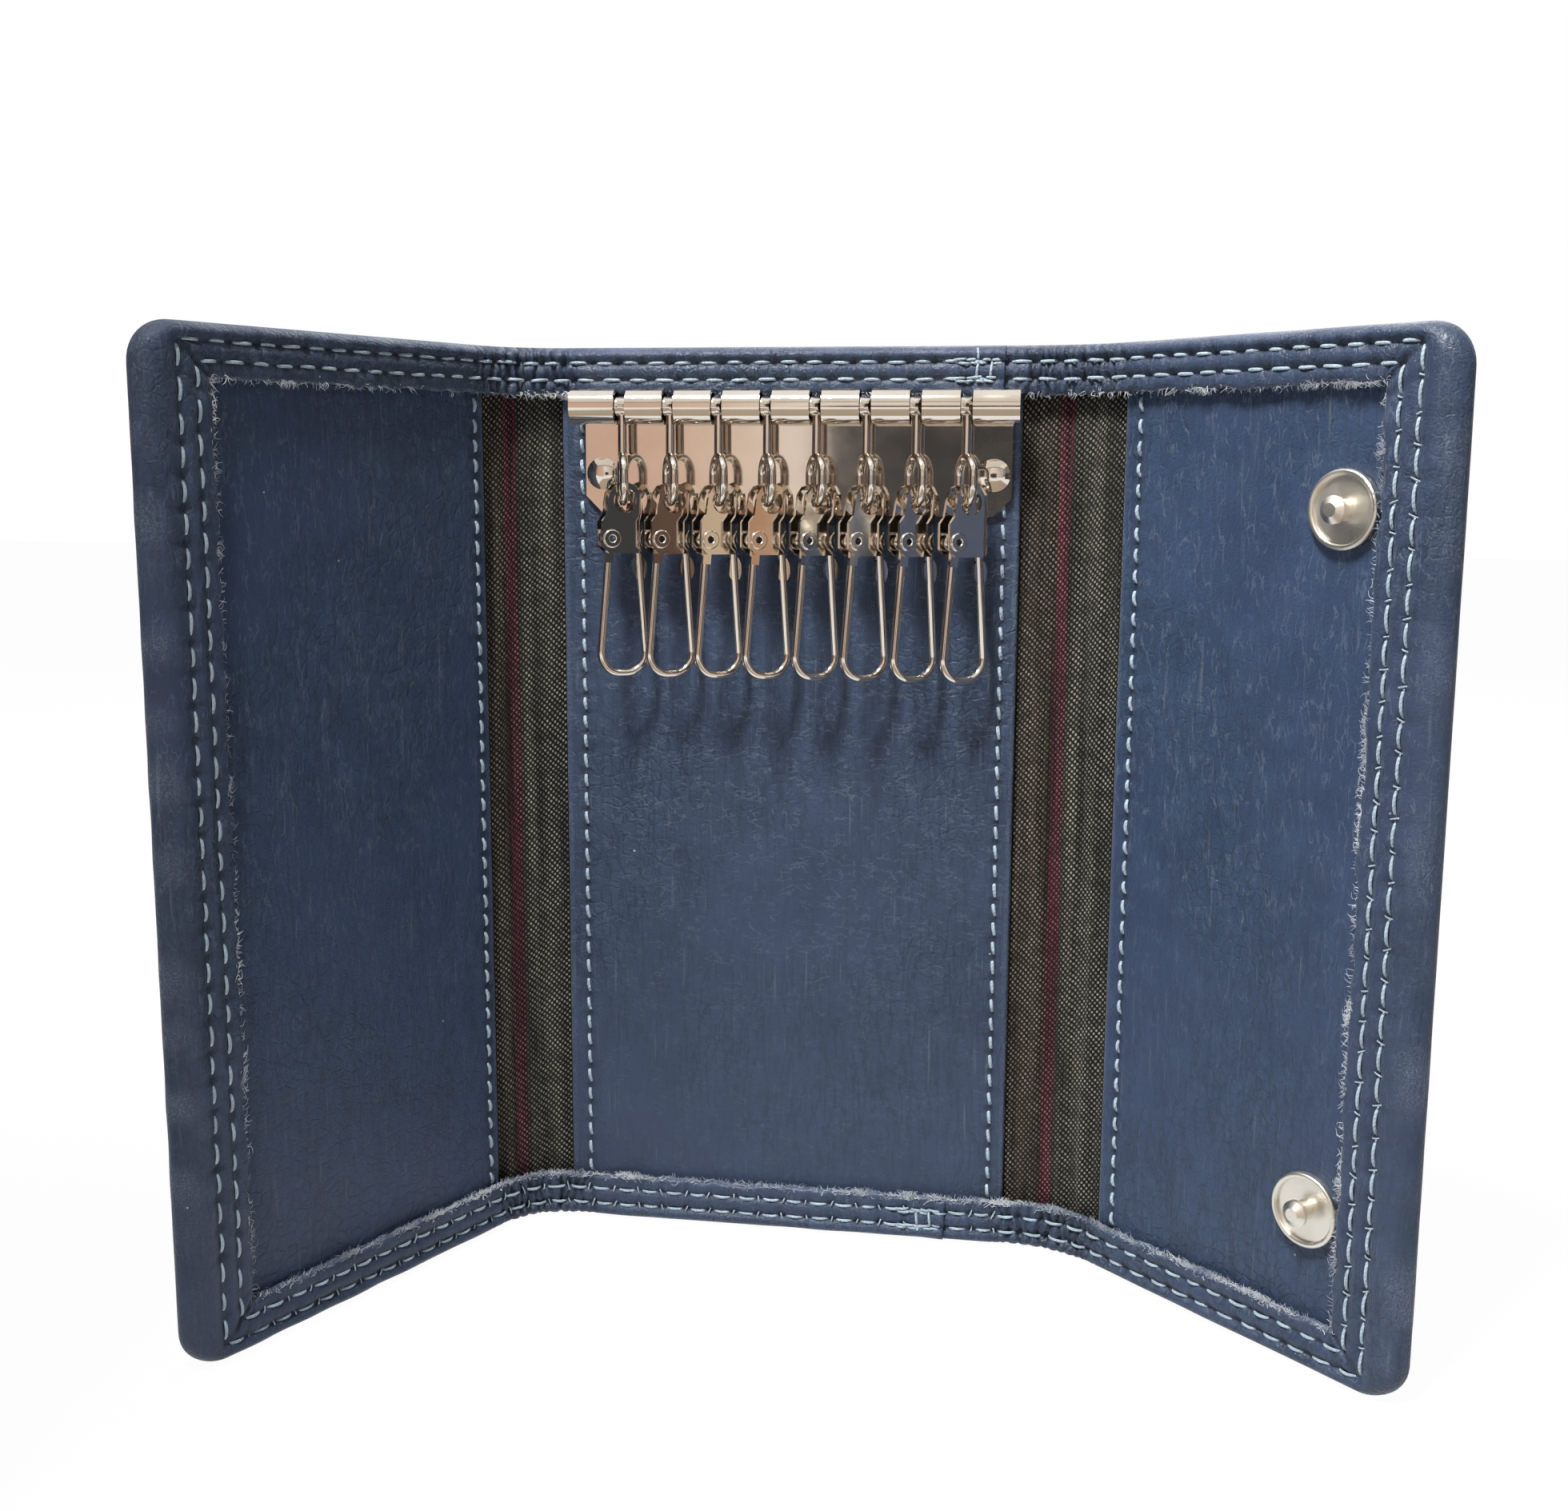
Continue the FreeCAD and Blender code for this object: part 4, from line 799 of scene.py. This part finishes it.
class Nodes:
    """A node tree, with short ways to add to it. An input is a value or another node's output."""

    def __init__(self, tree):
        tree.nodes.clear()
        self.tree = tree

    def fill(self, node, **inputs):
        """Gives a node's inputs their values, by name or as i and a number."""
        for key, value in inputs.items():
            socket = node.inputs[int(key[1:]) if key[1:].isdigit() else key.replace("_", " ")]
            if isinstance(value, bpy.types.NodeSocket):
                self.tree.links.new(value, socket)
            else:
                socket.default_value = value
        return node

    def add(self, kind, settings=None, **inputs):
        """A new node with its settings and inputs."""
        node = self.tree.nodes.new("ShaderNode" + kind)
        for key, value in (settings or {}).items():
            setattr(node, key, value)
        return self.fill(node, **inputs)

    def reckon(self, operation, first, second=0.0):
        """A value reckoned from one or two others."""
        return self.add("Math", {"operation": operation}, i0=first, i1=second).outputs[0]

    def times(self, first, second):
        """Two values multiplied."""
        return self.reckon("MULTIPLY", first, second)

    def plus(self, first, second):
        """Two values added."""
        return self.reckon("ADD", first, second)

    def spread(self, value, low_in, high_in, low_out=0.0, high_out=1.0):
        """A value moved from one range to another."""
        ranges = {"i1": low_in, "i2": high_in, "i3": low_out, "i4": high_out}
        return self.add("MapRange", {"clamp": True}, i0=value, **ranges).outputs[0]

    def mix(self, share, first, second):
        """A colour between two, by a share."""
        tones = [c if isinstance(c, bpy.types.NodeSocket) else (*c, 1.0) for c in (first, second)]
        return self.add("Mix", {"data_type": "RGBA"}, i0=share, i6=tones[0], i7=tones[1]).outputs[2]

    def scaled(self, colour, times):
        """A colour made paler or darker."""
        return self.add("VectorMath", {"operation": "SCALE"}, i0=colour, Scale=times).outputs[0]

    def ramp(self, value, stops):
        """A colour that runs through stops."""
        node = self.add("ValToRGB", None, i0=value)
        elements = node.color_ramp.elements
        while len(elements) < len(stops):
            elements.new(0.5)
        for element, (at, tone) in zip(elements, stops):
            element.position = at
            element.color = (*tone, 1.0)
        return node.outputs[0]

    def place(self):
        """Places on the object."""
        return self.add("TexCoord").outputs["Object"]

    def sheet(self):
        """Places on the flat sheet, along it and up it."""
        place = self.add("UVMap", {"uv_map": "sheet"}).outputs[0]
        axes = self.add("SeparateXYZ", None, i0=place).outputs
        return place, axes[0], axes[1]

    def height(self, place):
        """The upright part of a place or direction."""
        return self.add("SeparateXYZ", None, i0=place).outputs[2]

    def layer(self, name):
        """Values of a named layer of the mesh."""
        return self.add("Attribute", {"attribute_name": name}).outputs["Fac"]

    def noise(self, place, scale, detail=3.0, output="Fac"):
        """Soft noise."""
        return self.add("TexNoise", None, Vector=place, Scale=scale, Detail=detail).outputs[output]

    def drawn(self, place, stretch, scale):
        """Noise that is drawn out along an axis."""
        return self.noise(self.add("Mapping", None, Vector=place, Scale=stretch).outputs[0], scale)

    def lines(self, place, stretch, scale, width):
        """Thin winding lines, drawn out along an axis."""
        off = self.reckon("SUBTRACT", self.drawn(place, stretch, scale), 0.5)
        return self.spread(self.reckon("ABSOLUTE", off), 0.0, width, 1.0, 0.0)

    def veins(self, place, scale, width):
        """A net of veins between pebbles."""
        cells = self.add("TexVoronoi", {"feature": "DISTANCE_TO_EDGE"}, Vector=place, Scale=scale)
        return self.spread(cells.outputs["Distance"], 0.0, width, 1.0, 0.0)

    def pushed(self, place, way, reach):
        """Places moved by a colour of noise."""
        moves = {"i0": way, "i1": (reach, reach, reach), "i2": place}
        return self.add("VectorMath", {"operation": "MULTIPLY_ADD"}, **moves).outputs[0]

    def bump(self, strength, distance, height):
        """A rough surface from heights."""
        return self.add("Bump", None, Strength=strength, Distance=distance, Height=height).outputs[0]

    def either(self, share, first, second):
        """A shader between two, by a share."""
        return self.add("MixShader", None, i0=share, i1=first.outputs[0], i2=second.outputs[0]).outputs[0]

    def seen_rays(self):
        """1 for rays from the camera, in mirrors and through glass."""
        path = self.add("LightPath").outputs
        rays = self.reckon("MAXIMUM", path["Is Camera Ray"], path["Is Glossy Ray"])
        return self.reckon("MAXIMUM", rays, path["Is Transmission Ray"])


def new_material(name):
    """An empty node material with its nodes, shader and output."""
    material = bpy.data.materials.new(name)
    material.use_nodes = True
    nodes = Nodes(material.node_tree)
    shader = nodes.add("BsdfPrincipled")
    output = nodes.add("OutputMaterial", None, Surface=shader.outputs[0])
    return material, nodes, shader, output


def shade(colour, *times):
    """A colour made paler or darker, by one factor or by one for each part."""
    return tuple(min(1.0, part * factor) for part, factor in zip(colour, times * (3 // len(times))))


def leather_finish(name, colour, pebble, way, foot):
    """Navy leather: veins, creases along a way with painted glints, upright lines darkened as painted
    shade, scratches, specks and scuffs.
    """
    material, n, shader, _ = new_material(name)
    place = n.place()
    up = n.height(place)
    wander = n.noise(place, 520.0, output="Color")
    patch = n.noise(place, 34.0)
    cloud = n.noise(place, 150.0, 5.0)
    pores = n.noise(place, 5200.0)
    broken = n.noise(place, 480.0)

    # Veins, mostly in patches and near the foot
    bent = n.pushed(place, wander, 0.0016)
    where = n.reckon("MAXIMUM", n.spread(patch, 0.42, 0.62, 0.1), n.spread(up, 0.008, 0.04, foot, 0.0))
    vein = n.times(n.veins(bent, pebble, 0.14), where)
    small = n.veins(bent, pebble * 2.4, 0.22)

    # Creases with painted glints, upright lines darkened as painted shade, scratches and specks
    swayed = n.pushed(place, wander, 0.0005)
    # Painted highlight: pale glint lines along the creases stand in for the light that they catch
    lines = n.times(n.lines(swayed, way, 1000.0, 0.028), n.spread(broken, 0.42, 0.60))
    lines = n.times(lines, n.spread(up, 0.025, 0.06, 0.3))
    # The upright lines are real wrinkle valleys in the bump; their darker colour is painted shade
    upright = n.lines(swayed, (1.0, 1.0, 0.14), 820.0, 0.05)
    streak = n.times(upright, n.spread(patch, 0.36, 0.56, 0.25))
    scratch = n.spread(n.drawn(place, (2.6, 2.6, 0.14), 720.0), 0.64, 0.74)
    spot = n.add("TexVoronoi", None, Vector=place, Scale=190.0).outputs
    chosen = n.spread(n.add("SeparateColor", None, i0=spot["Color"]).outputs[0], 0.62, 0.64)
    speck = n.times(n.spread(spot["Distance"], 0.012, 0.032, 1.0, 0.0), chosen)
    scuff = n.times(n.layer("wear"), n.spread(pores, 0.45, 0.7, 0.15))

    violet = shade(colour, 1.05, 0.985, 1.01)
    teal = shade(colour, 0.95, 1.01, 0.985)
    tone = n.mix(n.spread(patch, 0.38, 0.62), violet, teal)
    tone = n.scaled(tone, n.spread(cloud, 0.3, 0.7, 0.88, 1.10))
    for mark, share, tint in (
        (vein, 0.26, shade(colour, 0.35)),
        # Painted shade in the upright wrinkle valleys
        (streak, 0.46, shade(colour, 0.4)),
        # Painted glints along the creases
        (lines, 0.30, (0.15, 0.185, 0.24)),
        (scratch, 0.22, (0.16, 0.18, 0.20)),
        (speck, 0.75, (0.42, 0.45, 0.48)),
        (scuff, 0.5, (0.21, 0.25, 0.33)),
        # Painted shade in the pressed-in creases, needle holes and stitch grooves
        (n.layer("crease_shade"), 0.7, shade(colour, 0.28)),
    ):
        tone = n.mix(n.times(mark, share), tone, tint)
    height = n.times(vein, -1.0)
    for value, weight in ((small, -0.35), (streak, -0.5), (lines, 0.35), (pores, 0.25), (cloud, 1.4)):
        height = n.plus(height, n.times(value, weight))
    n.fill(shader, Base_Color=tone, Roughness=n.spread(cloud, 0.3, 0.7, 0.42, 0.58),
           Normal=n.bump(0.7, 0.0001, height), Specular_IOR_Level=0.30, Sheen_Weight=0.05)
    return material


def thread_finish(name, colour):
    """Sewing thread: pale blue, with its twisted plies and painted shade in the grooves between them."""
    material, n, shader, _ = new_material(name)
    _, along, around = n.sheet()
    ply = n.reckon("FRACT", n.plus(n.times(along, 2100.0), n.times(around, 2000.0)))
    ridge = n.reckon("ABSOLUTE", n.reckon("SUBTRACT", ply, 0.5))
    uneven = n.noise(n.place(), 900.0)
    tone = n.mix(n.spread(uneven, 0.3, 0.7), shade(colour, 0.78), shade(colour, 1.2))
    # Painted shade: the grooves between the plies are darkened
    tone = n.mix(n.spread(ridge, 0.34, 0.5, 0.0, 0.7), tone, shade(colour, 0.42))
    n.fill(shader, Base_Color=tone, Roughness=n.spread(uneven, 0.2, 0.8, 0.5, 0.7),
           Normal=n.bump(0.7, 0.00008, n.reckon("SUBTRACT", 1.0, ridge)), Sheen_Weight=0.25)
    return material


def lining_finish(name, base, stripe, brown):
    """Lining cloth: a dark twill with pale slanting flecks, a wine stripe and a brown edge."""
    material, n, shader, _ = new_material(name)
    place, across, up = n.sheet()
    drift = n.times(n.reckon("SUBTRACT", n.noise(place, 90.0, 2.0), 0.5), 0.0016)
    slanted = n.plus(n.plus(up, drift), n.times(across, -0.33))
    column = n.reckon("SINE", n.times(across, 2 * math.pi / 0.00062))
    course = n.reckon("SINE", n.times(slanted, 2 * math.pi / 0.00080))
    fleck = n.times(column, course)
    uneven = n.noise(place, 620.0, 4.0)
    streak = n.drawn(place, (1.0, 0.02, 1.0), 1300.0)
    wide = n.drawn(place, (1.0, 0.06, 1.0), 420.0)
    band = n.ramp(n.spread(across, 0.0, 0.0128), [
        (0.0, brown), (0.21, brown), (0.22, stripe), (0.34, stripe), (0.35, shade(base, 0.85)),
        (0.45, base), (0.58, base), (0.68, shade(base, 0.6)), (0.84, shade(base, 0.42)),
    ])
    ground = n.mix(n.spread(streak, 0.38, 0.62, 0.72, 0.98), band, (0.0015, 0.0015, 0.0015))
    bright = n.scaled(band, 2.0)
    plain = n.times(n.spread(across, 0.0047, 0.0050, 0.7, 0.0), n.spread(across, 0.0022, 0.0026, 0.35))
    pale = n.mix(plain, n.mix(0.5, bright, (0.43, 0.42, 0.36)), bright)
    show = n.times(n.spread(fleck, 0.18, 0.50), n.spread(uneven, 0.35, 0.6, 0.4))
    show = n.times(show, n.spread(wide, 0.36, 0.60, 0.35))
    height = n.plus(n.times(fleck, 0.7), n.times(column, 0.25))
    n.fill(shader, Base_Color=n.mix(show, ground, pale), Roughness=n.spread(uneven, 0.2, 0.8, 0.55, 0.8),
           Normal=n.bump(0.6, 0.00012, height), Specular_IOR_Level=0.12, Sheen_Weight=0.04)
    return material


def fibre_finish(name):
    """Frayed leather fibres: pale grey with a breath of blue."""
    material, n, shader, _ = new_material(name)
    patch = n.noise(n.place(), 110.0)
    tone = n.mix(n.spread(patch, 0.35, 0.65), (0.17, 0.20, 0.26), (0.52, 0.55, 0.59))
    n.fill(shader, Base_Color=tone, Roughness=n.spread(patch, 0.2, 0.8, 0.7, 0.9))
    return material


def metal_finish(name, colour, polish, brushed):
    """Polished plated metal with a slight haze and faint wiping marks."""
    material, n, shader, _ = new_material(name)
    place = n.place()
    haze = n.noise(place, 240.0, 4.0)
    wipe = n.drawn(place, (0.15, 1.0, 1.0), 3600.0)
    tone = n.mix(n.spread(haze, 0.3, 0.7), shade(colour, 0.93), colour)
    n.fill(shader, Base_Color=tone, Roughness=n.spread(haze, 0.25, 0.75, polish, polish * 1.9),
           Normal=n.bump(brushed, 0.00002, wipe), Metallic=1.0)
    return material


def floor_finish(name):
    """White floor that keeps the object's shadow."""
    material, n, shader, output = new_material(name)
    n.fill(shader, Base_Color=(0.9, 0.9, 0.9, 1.0), Roughness=0.9)
    glow = n.add("Emission", None, Color=(1.0, 1.0, 1.0, 1.0), Strength=1.0)
    n.fill(output, Surface=n.either(n.times(n.seen_rays(), 0.965), shader, glow))
    return material


def card_finish(name, stops):
    """A card that glows in tones running from one end to the other; the metal mirrors it, and where only
    mirrors see it the glow is a painted reflection.
    """
    material, n, shader, _ = new_material(name)
    n.fill(shader, Base_Color=(0.0, 0.0, 0.0, 1.0), Roughness=0.9,
           Emission_Color=n.ramp(n.layer("share"), stops), Emission_Strength=1.0)
    return material


def white_world(scene):
    """A white surround, which lights the case more from above than from the sides."""
    scene.world = bpy.data.worlds.new("white_surround")
    scene.world.use_nodes = True
    n = Nodes(scene.world.node_tree)
    rise = n.height(n.add("TexCoord").outputs["Generated"])
    level = n.spread(rise, 0.0, 0.75, 0.12, 0.365)
    soft = n.add("Background", None, Color=(1.0, 0.985, 0.97, 1.0), Strength=level)
    white = n.add("Background", None, Color=(1.0, 1.0, 1.0, 1.0), Strength=1.0)
    n.add("OutputWorld", None, Surface=n.either(n.seen_rays(), soft, white))


def finish_of(name, maker, *values):
    """A material by name, made on first use."""
    return bpy.data.materials.get(name) or maker(name, *values)


def dress(node, material):
    """Puts a material on a solid of the frame, in its own slots."""
    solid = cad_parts[node]
    if not solid.data.materials:
        solid.data.materials.append(material)
    for slot in solid.material_slots:
        slot.material = material


def bend(piece, side):
    """Reckons where a fold starts and ends, between the centre and a wing, but uses neither; bakes the
    piece's place into its mesh.
    """
    fold = FOLDS[side]
    start = tuple(flat_to_open(fold["sign"] * CENTRE_HALF, 0.0, 0.0) * MM)
    end = tuple(flat_to_open(fold["sign"] * fold["edge"], 0.0, 0.0) * MM)
    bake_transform(piece)


def studio_card(name, corner, along, up, stops):
    """A flat card beside the case, whose tones run along its first edge."""
    corner, along, up = np.array(corner), np.array(along), np.array(up)
    points = [corner, corner + along, corner + along + up, corner + up]
    material = card_finish(name + "_tone", stops)
    card = mesh_piece(name, material, points, [(0, 1, 2, 3)], {"share": [0, 1, 1, 0]})
    card.visible_camera = False
    return card


def area_lamp(name, place, aim, size, power, colour):
    """A square soft lamp that looks at a point."""
    lamp = bpy.data.lights.new(name, "AREA")
    lamp.shape = "SQUARE"
    lamp.size = size
    lamp.energy = power
    lamp.color = colour
    holder = bpy.data.objects.new(name, lamp)
    bpy.context.scene.collection.objects.link(holder)
    back = unit(np.array(place) - np.array(aim))
    right = unit(np.cross((0, 0, 1), back))
    turn = Matrix((right, np.cross(back, right), back)).transposed().to_4x4()
    holder.matrix_world = Matrix.Translation(place) @ turn


def photo_camera(scene):
    """The camera that was fitted to the photo."""
    camera = bpy.data.cameras.new("photo_camera")
    camera.sensor_fit = "HORIZONTAL"
    camera.sensor_width = SENSOR
    camera.lens = SENSOR * PHOTO_FOCAL / PHOTO_WIDTH
    camera.clip_start = 0.01
    holder = bpy.data.objects.new("photo_camera", camera)
    turn = Matrix.Rotation(CAMERA_TURN, 4, "Z") @ Matrix.Rotation(math.pi / 2 - CAMERA_DIP, 4, "X")
    turn = turn @ Matrix.Rotation(CAMERA_ROLL, 4, "Z")
    holder.matrix_world = Matrix.Translation(CAMERA_PLACE) @ turn
    scene.collection.objects.link(holder)
    scene.camera = holder


def colour_setting(name, description, value):
    """A colour that the panel shows."""
    limits = {"min": 0, "max": 1}
    return FloatVectorProperty(name=name, description=description, subtype="COLOR", default=value, **limits)


def length_setting(name, description, value):
    """A length in metres that the panel shows."""
    return FloatProperty(name=name, description=description, default=value, unit="LENGTH")


class KeyCaseSizes(bpy.types.PropertyGroup):
    """Sizes of the sewn and frayed details"""

    hem_stitch: length_setting("Hem stitch", "Hole to hole on the hem", 0.0033)
    panel_stitch: length_setting("Panel stitch", "Hole to hole on the panels", 0.00255)
    thread: length_setting("Thread", "Thickness of the thread", 0.00039)
    fibres: FloatProperty(name="Fibres", description="Loose fibres per millimetre of raw edge", default=5.0)
    seed: IntProperty(name="Seed", description="Start of the uneven sewing", default=5)


class KeyCaseColours(bpy.types.PropertyGroup):
    """Colours of the leather, cloth, thread and metal"""

    leather: colour_setting("Leather", "Navy leather", (0.0214, 0.0371, 0.0745))
    wings: colour_setting("Wing panels", "Navy leather of the wings", (0.0186, 0.0364, 0.0785))
    thread: colour_setting("Thread", "Pale blue thread", (0.25, 0.325, 0.395))
    lining: colour_setting("Lining", "Dark olive cloth", (0.033, 0.033, 0.025))
    stripe: colour_setting("Stripe", "Wine stripe", (0.085, 0.012, 0.025))
    brown: colour_setting("Brown edge", "Brown zone of the cloth", (0.042, 0.028, 0.018))
    nickel: colour_setting("Nickel", "Polished nickel", (0.80, 0.735, 0.66))
    snap: colour_setting("Snap metal", "Snap fasteners", (0.79, 0.76, 0.69))


class KEYCASE_OT_cover(bpy.types.Operator):
    """Leather cover in two halves, with the rolled and hemmed edge"""

    bl_idname = "keycase.cover"
    bl_label = "Leather cover"

    def execute(self, context):
        colour = tuple(context.scene.key_case_colours.leather)
        material = finish_of("navy_leather", leather_finish, colour, 760.0, (1.0, 1.0, 0.4), 0.0)
        for side in FOLDS:
            piece = mesh_piece(side + "_leather", material, *cover_half(side))
            bend(piece, side)
            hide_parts(side + "_cover", side + "_fold_cover")
            if side == "left":
                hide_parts("centre_cover")
        return {"FINISHED"}


class KEYCASE_OT_panels(bpy.types.Operator):
    """Three inner leather panels with turned edges"""

    bl_idname = "keycase.panels"
    bl_label = "Inner panels"

    def execute(self, context):
        colours = context.scene.key_case_colours
        leather, wings = tuple(colours.leather), tuple(colours.wings)
        centre = finish_of("navy_panel_leather", leather_finish, leather, 640.0, (0.4, 0.4, 1.0), 0.0)
        outer = finish_of("navy_wing_leather", leather_finish, wings, 640.0, (0.9, 0.9, 0.25), 1.0)
        for side, panel in PANELS.items():
            material = centre if side == "centre" else outer
            piece = mesh_piece(side + "_panel_leather", material, *panel_sheet(side))
            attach(piece, panel["body"])
            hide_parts(side + "_panel")
        return {"FINISHED"}


class KEYCASE_OT_lining(bpy.types.Operator):
    """Striped lining cloth that shows in the two folds"""

    bl_idname = "keycase.lining"
    bl_label = "Lining cloth"

    def execute(self, context):
        colours = context.scene.key_case_colours
        tones = (tuple(colours.lining), tuple(colours.stripe), tuple(colours.brown))
        material = finish_of("striped_twill", lining_finish, *tones)
        for side in FOLDS:
            points, faces, uv, size = cloth_half(side)
            piece = mesh_piece(side + "_lining_cloth", material, points, faces, None, uv)
            bend(piece, side)
            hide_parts(side + "_lining", side + "_fold_lining")
            if side == "left":
                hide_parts("centre_lining")
        return {"FINISHED"}


class KEYCASE_OT_stitches(bpy.types.Operator):
    """Stitches of the hem and of the panels"""

    bl_idname = "keycase.stitches"
    bl_label = "Stitches"

    def execute(self, context):
        material = finish_of("sewing_thread", thread_finish, tuple(context.scene.key_case_colours.thread))

        def sewn(name, points, faces, uv):
            """A piece of thread."""
            return mesh_piece(name, material, points, faces, None, uv)

        for side in FOLDS:
            bend(sewn(side + "_hem_stitches", *hem_thread(side)), side)
        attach(sewn("hem_tack_stitches", *tack_thread()), "case")
        for side, panel in PANELS.items():
            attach(sewn(side + "_panel_stitches", *panel_thread(side)), panel["body"])
        return {"FINISHED"}


class KEYCASE_OT_fibres(bpy.types.Operator):
    """Frayed fibres along the raw edge of the hem"""

    bl_idname = "keycase.fibres"
    bl_label = "Frayed edge"

    def execute(self, context):
        material = finish_of("frayed_fibres", fibre_finish)
        for side in FOLDS:
            bend(mesh_piece(side + "_hem_fibres", material, *hem_fibres(side)), side)
        return {"FINISHED"}


class KEYCASE_OT_hardware(bpy.types.Operator):
    """Polished rail, hooks and snaps, with the springs drawn smooth"""

    bl_idname = "keycase.hardware"
    bl_label = "Metal pieces"

    def execute(self, context):
        colours = context.scene.key_case_colours
        nickel = finish_of("polished_nickel", metal_finish, tuple(colours.nickel), 0.055, 0.05)
        snap = finish_of("bright_snap_metal", metal_finish, tuple(colours.snap), 0.24, 0.10)
        wire = finish_of("fine_spring_wire", metal_finish, tuple(colours.nickel), 0.10, 0.08)
        for node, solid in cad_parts.items():
            if node.startswith("clip_spring_"):
                mesh = solid.data.copy()
                mesh.polygons.foreach_set("use_smooth", np.ones(len(mesh.polygons), bool))
                mesh.materials.clear()
                mesh.materials.append(wire)
                piece = bpy.data.objects.new(node + "_wire", mesh)
                context.scene.collection.objects.link(piece)
                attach(piece, "clip_" + node.rsplit("_", 1)[1])
                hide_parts(node)
            elif node.startswith(("snap_", "stud_", "socket_")):
                dress(node, snap)
            elif node.startswith(("hook_", "rail_", "clip_rivet_")):
                dress(node, nickel)
        return {"FINISHED"}


class KEYCASE_OT_studio(bpy.types.Operator):
    """White floor, soft lights and the camera"""

    bl_idname = "keycase.studio"
    bl_label = "Studio"

    def execute(self, context):
        scene = context.scene
        corners = [(FLOOR_HALF * x, FLOOR_HALF * y, 0) for x, y in ((-1, -1), (1, -1), (1, 1), (-1, 1))]
        mesh_piece("studio_floor", floor_finish("white_floor"), corners, [(0, 1, 2, 3)])
        # Glowing cards that only mirrors see: painted reflections on the metal
        for row in REFLECTION_CARDS:
            card = studio_card(*row)
            card.visible_diffuse = False
            card.visible_shadow = False
        for row in FLAGS:
            studio_card(*row).visible_glossy = False
        white_world(scene)
        for row in LAMPS:
            area_lamp(*row)
        photo_camera(scene)
        scene.view_settings.view_transform = "Standard"
        return {"FINISHED"}


class KEYCASE_PT_panel(bpy.types.Panel):
    """Sizes, colours and steps of the key case"""

    bl_label = "Key case"
    bl_idname = "KEYCASE_PT_panel"
    bl_space_type = "VIEW_3D"
    bl_region_type = "UI"
    bl_category = "Key case"

    def draw(self, context):
        layout = self.layout
        for group in (context.scene.key_case_sizes, context.scene.key_case_colours):
            for name in group.bl_rna.properties.keys():
                if name not in ("rna_type", "name"):
                    layout.prop(group, name)
        for operator in STEPS:
            layout.operator(operator.bl_idname)


STEPS = (
    KEYCASE_OT_cover,
    KEYCASE_OT_panels,
    KEYCASE_OT_lining,
    KEYCASE_OT_stitches,
    KEYCASE_OT_fibres,
    KEYCASE_OT_hardware,
    KEYCASE_OT_studio,
)
CLASSES = (KeyCaseSizes, KeyCaseColours, *STEPS, KEYCASE_PT_panel)


def register():
    """Adds the classes and the scene's settings."""
    for cls in CLASSES:
        bpy.utils.register_class(cls)
    bpy.types.Scene.key_case_sizes = PointerProperty(type=KeyCaseSizes)
    bpy.types.Scene.key_case_colours = PointerProperty(type=KeyCaseColours)


def unregister():
    """Takes the classes and settings away."""
    del bpy.types.Scene.key_case_colours
    del bpy.types.Scene.key_case_sizes
    for cls in reversed(CLASSES):
        bpy.utils.unregister_class(cls)


def main():
    """Registers the add-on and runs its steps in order."""
    register()
    bpy.ops.keycase.cover()
    bpy.ops.keycase.panels()
    bpy.ops.keycase.lining()
    bpy.ops.keycase.stitches()
    bpy.ops.keycase.fibres()
    bpy.ops.keycase.hardware()
    bpy.ops.keycase.studio()


if __name__ == "__main__":
    main()
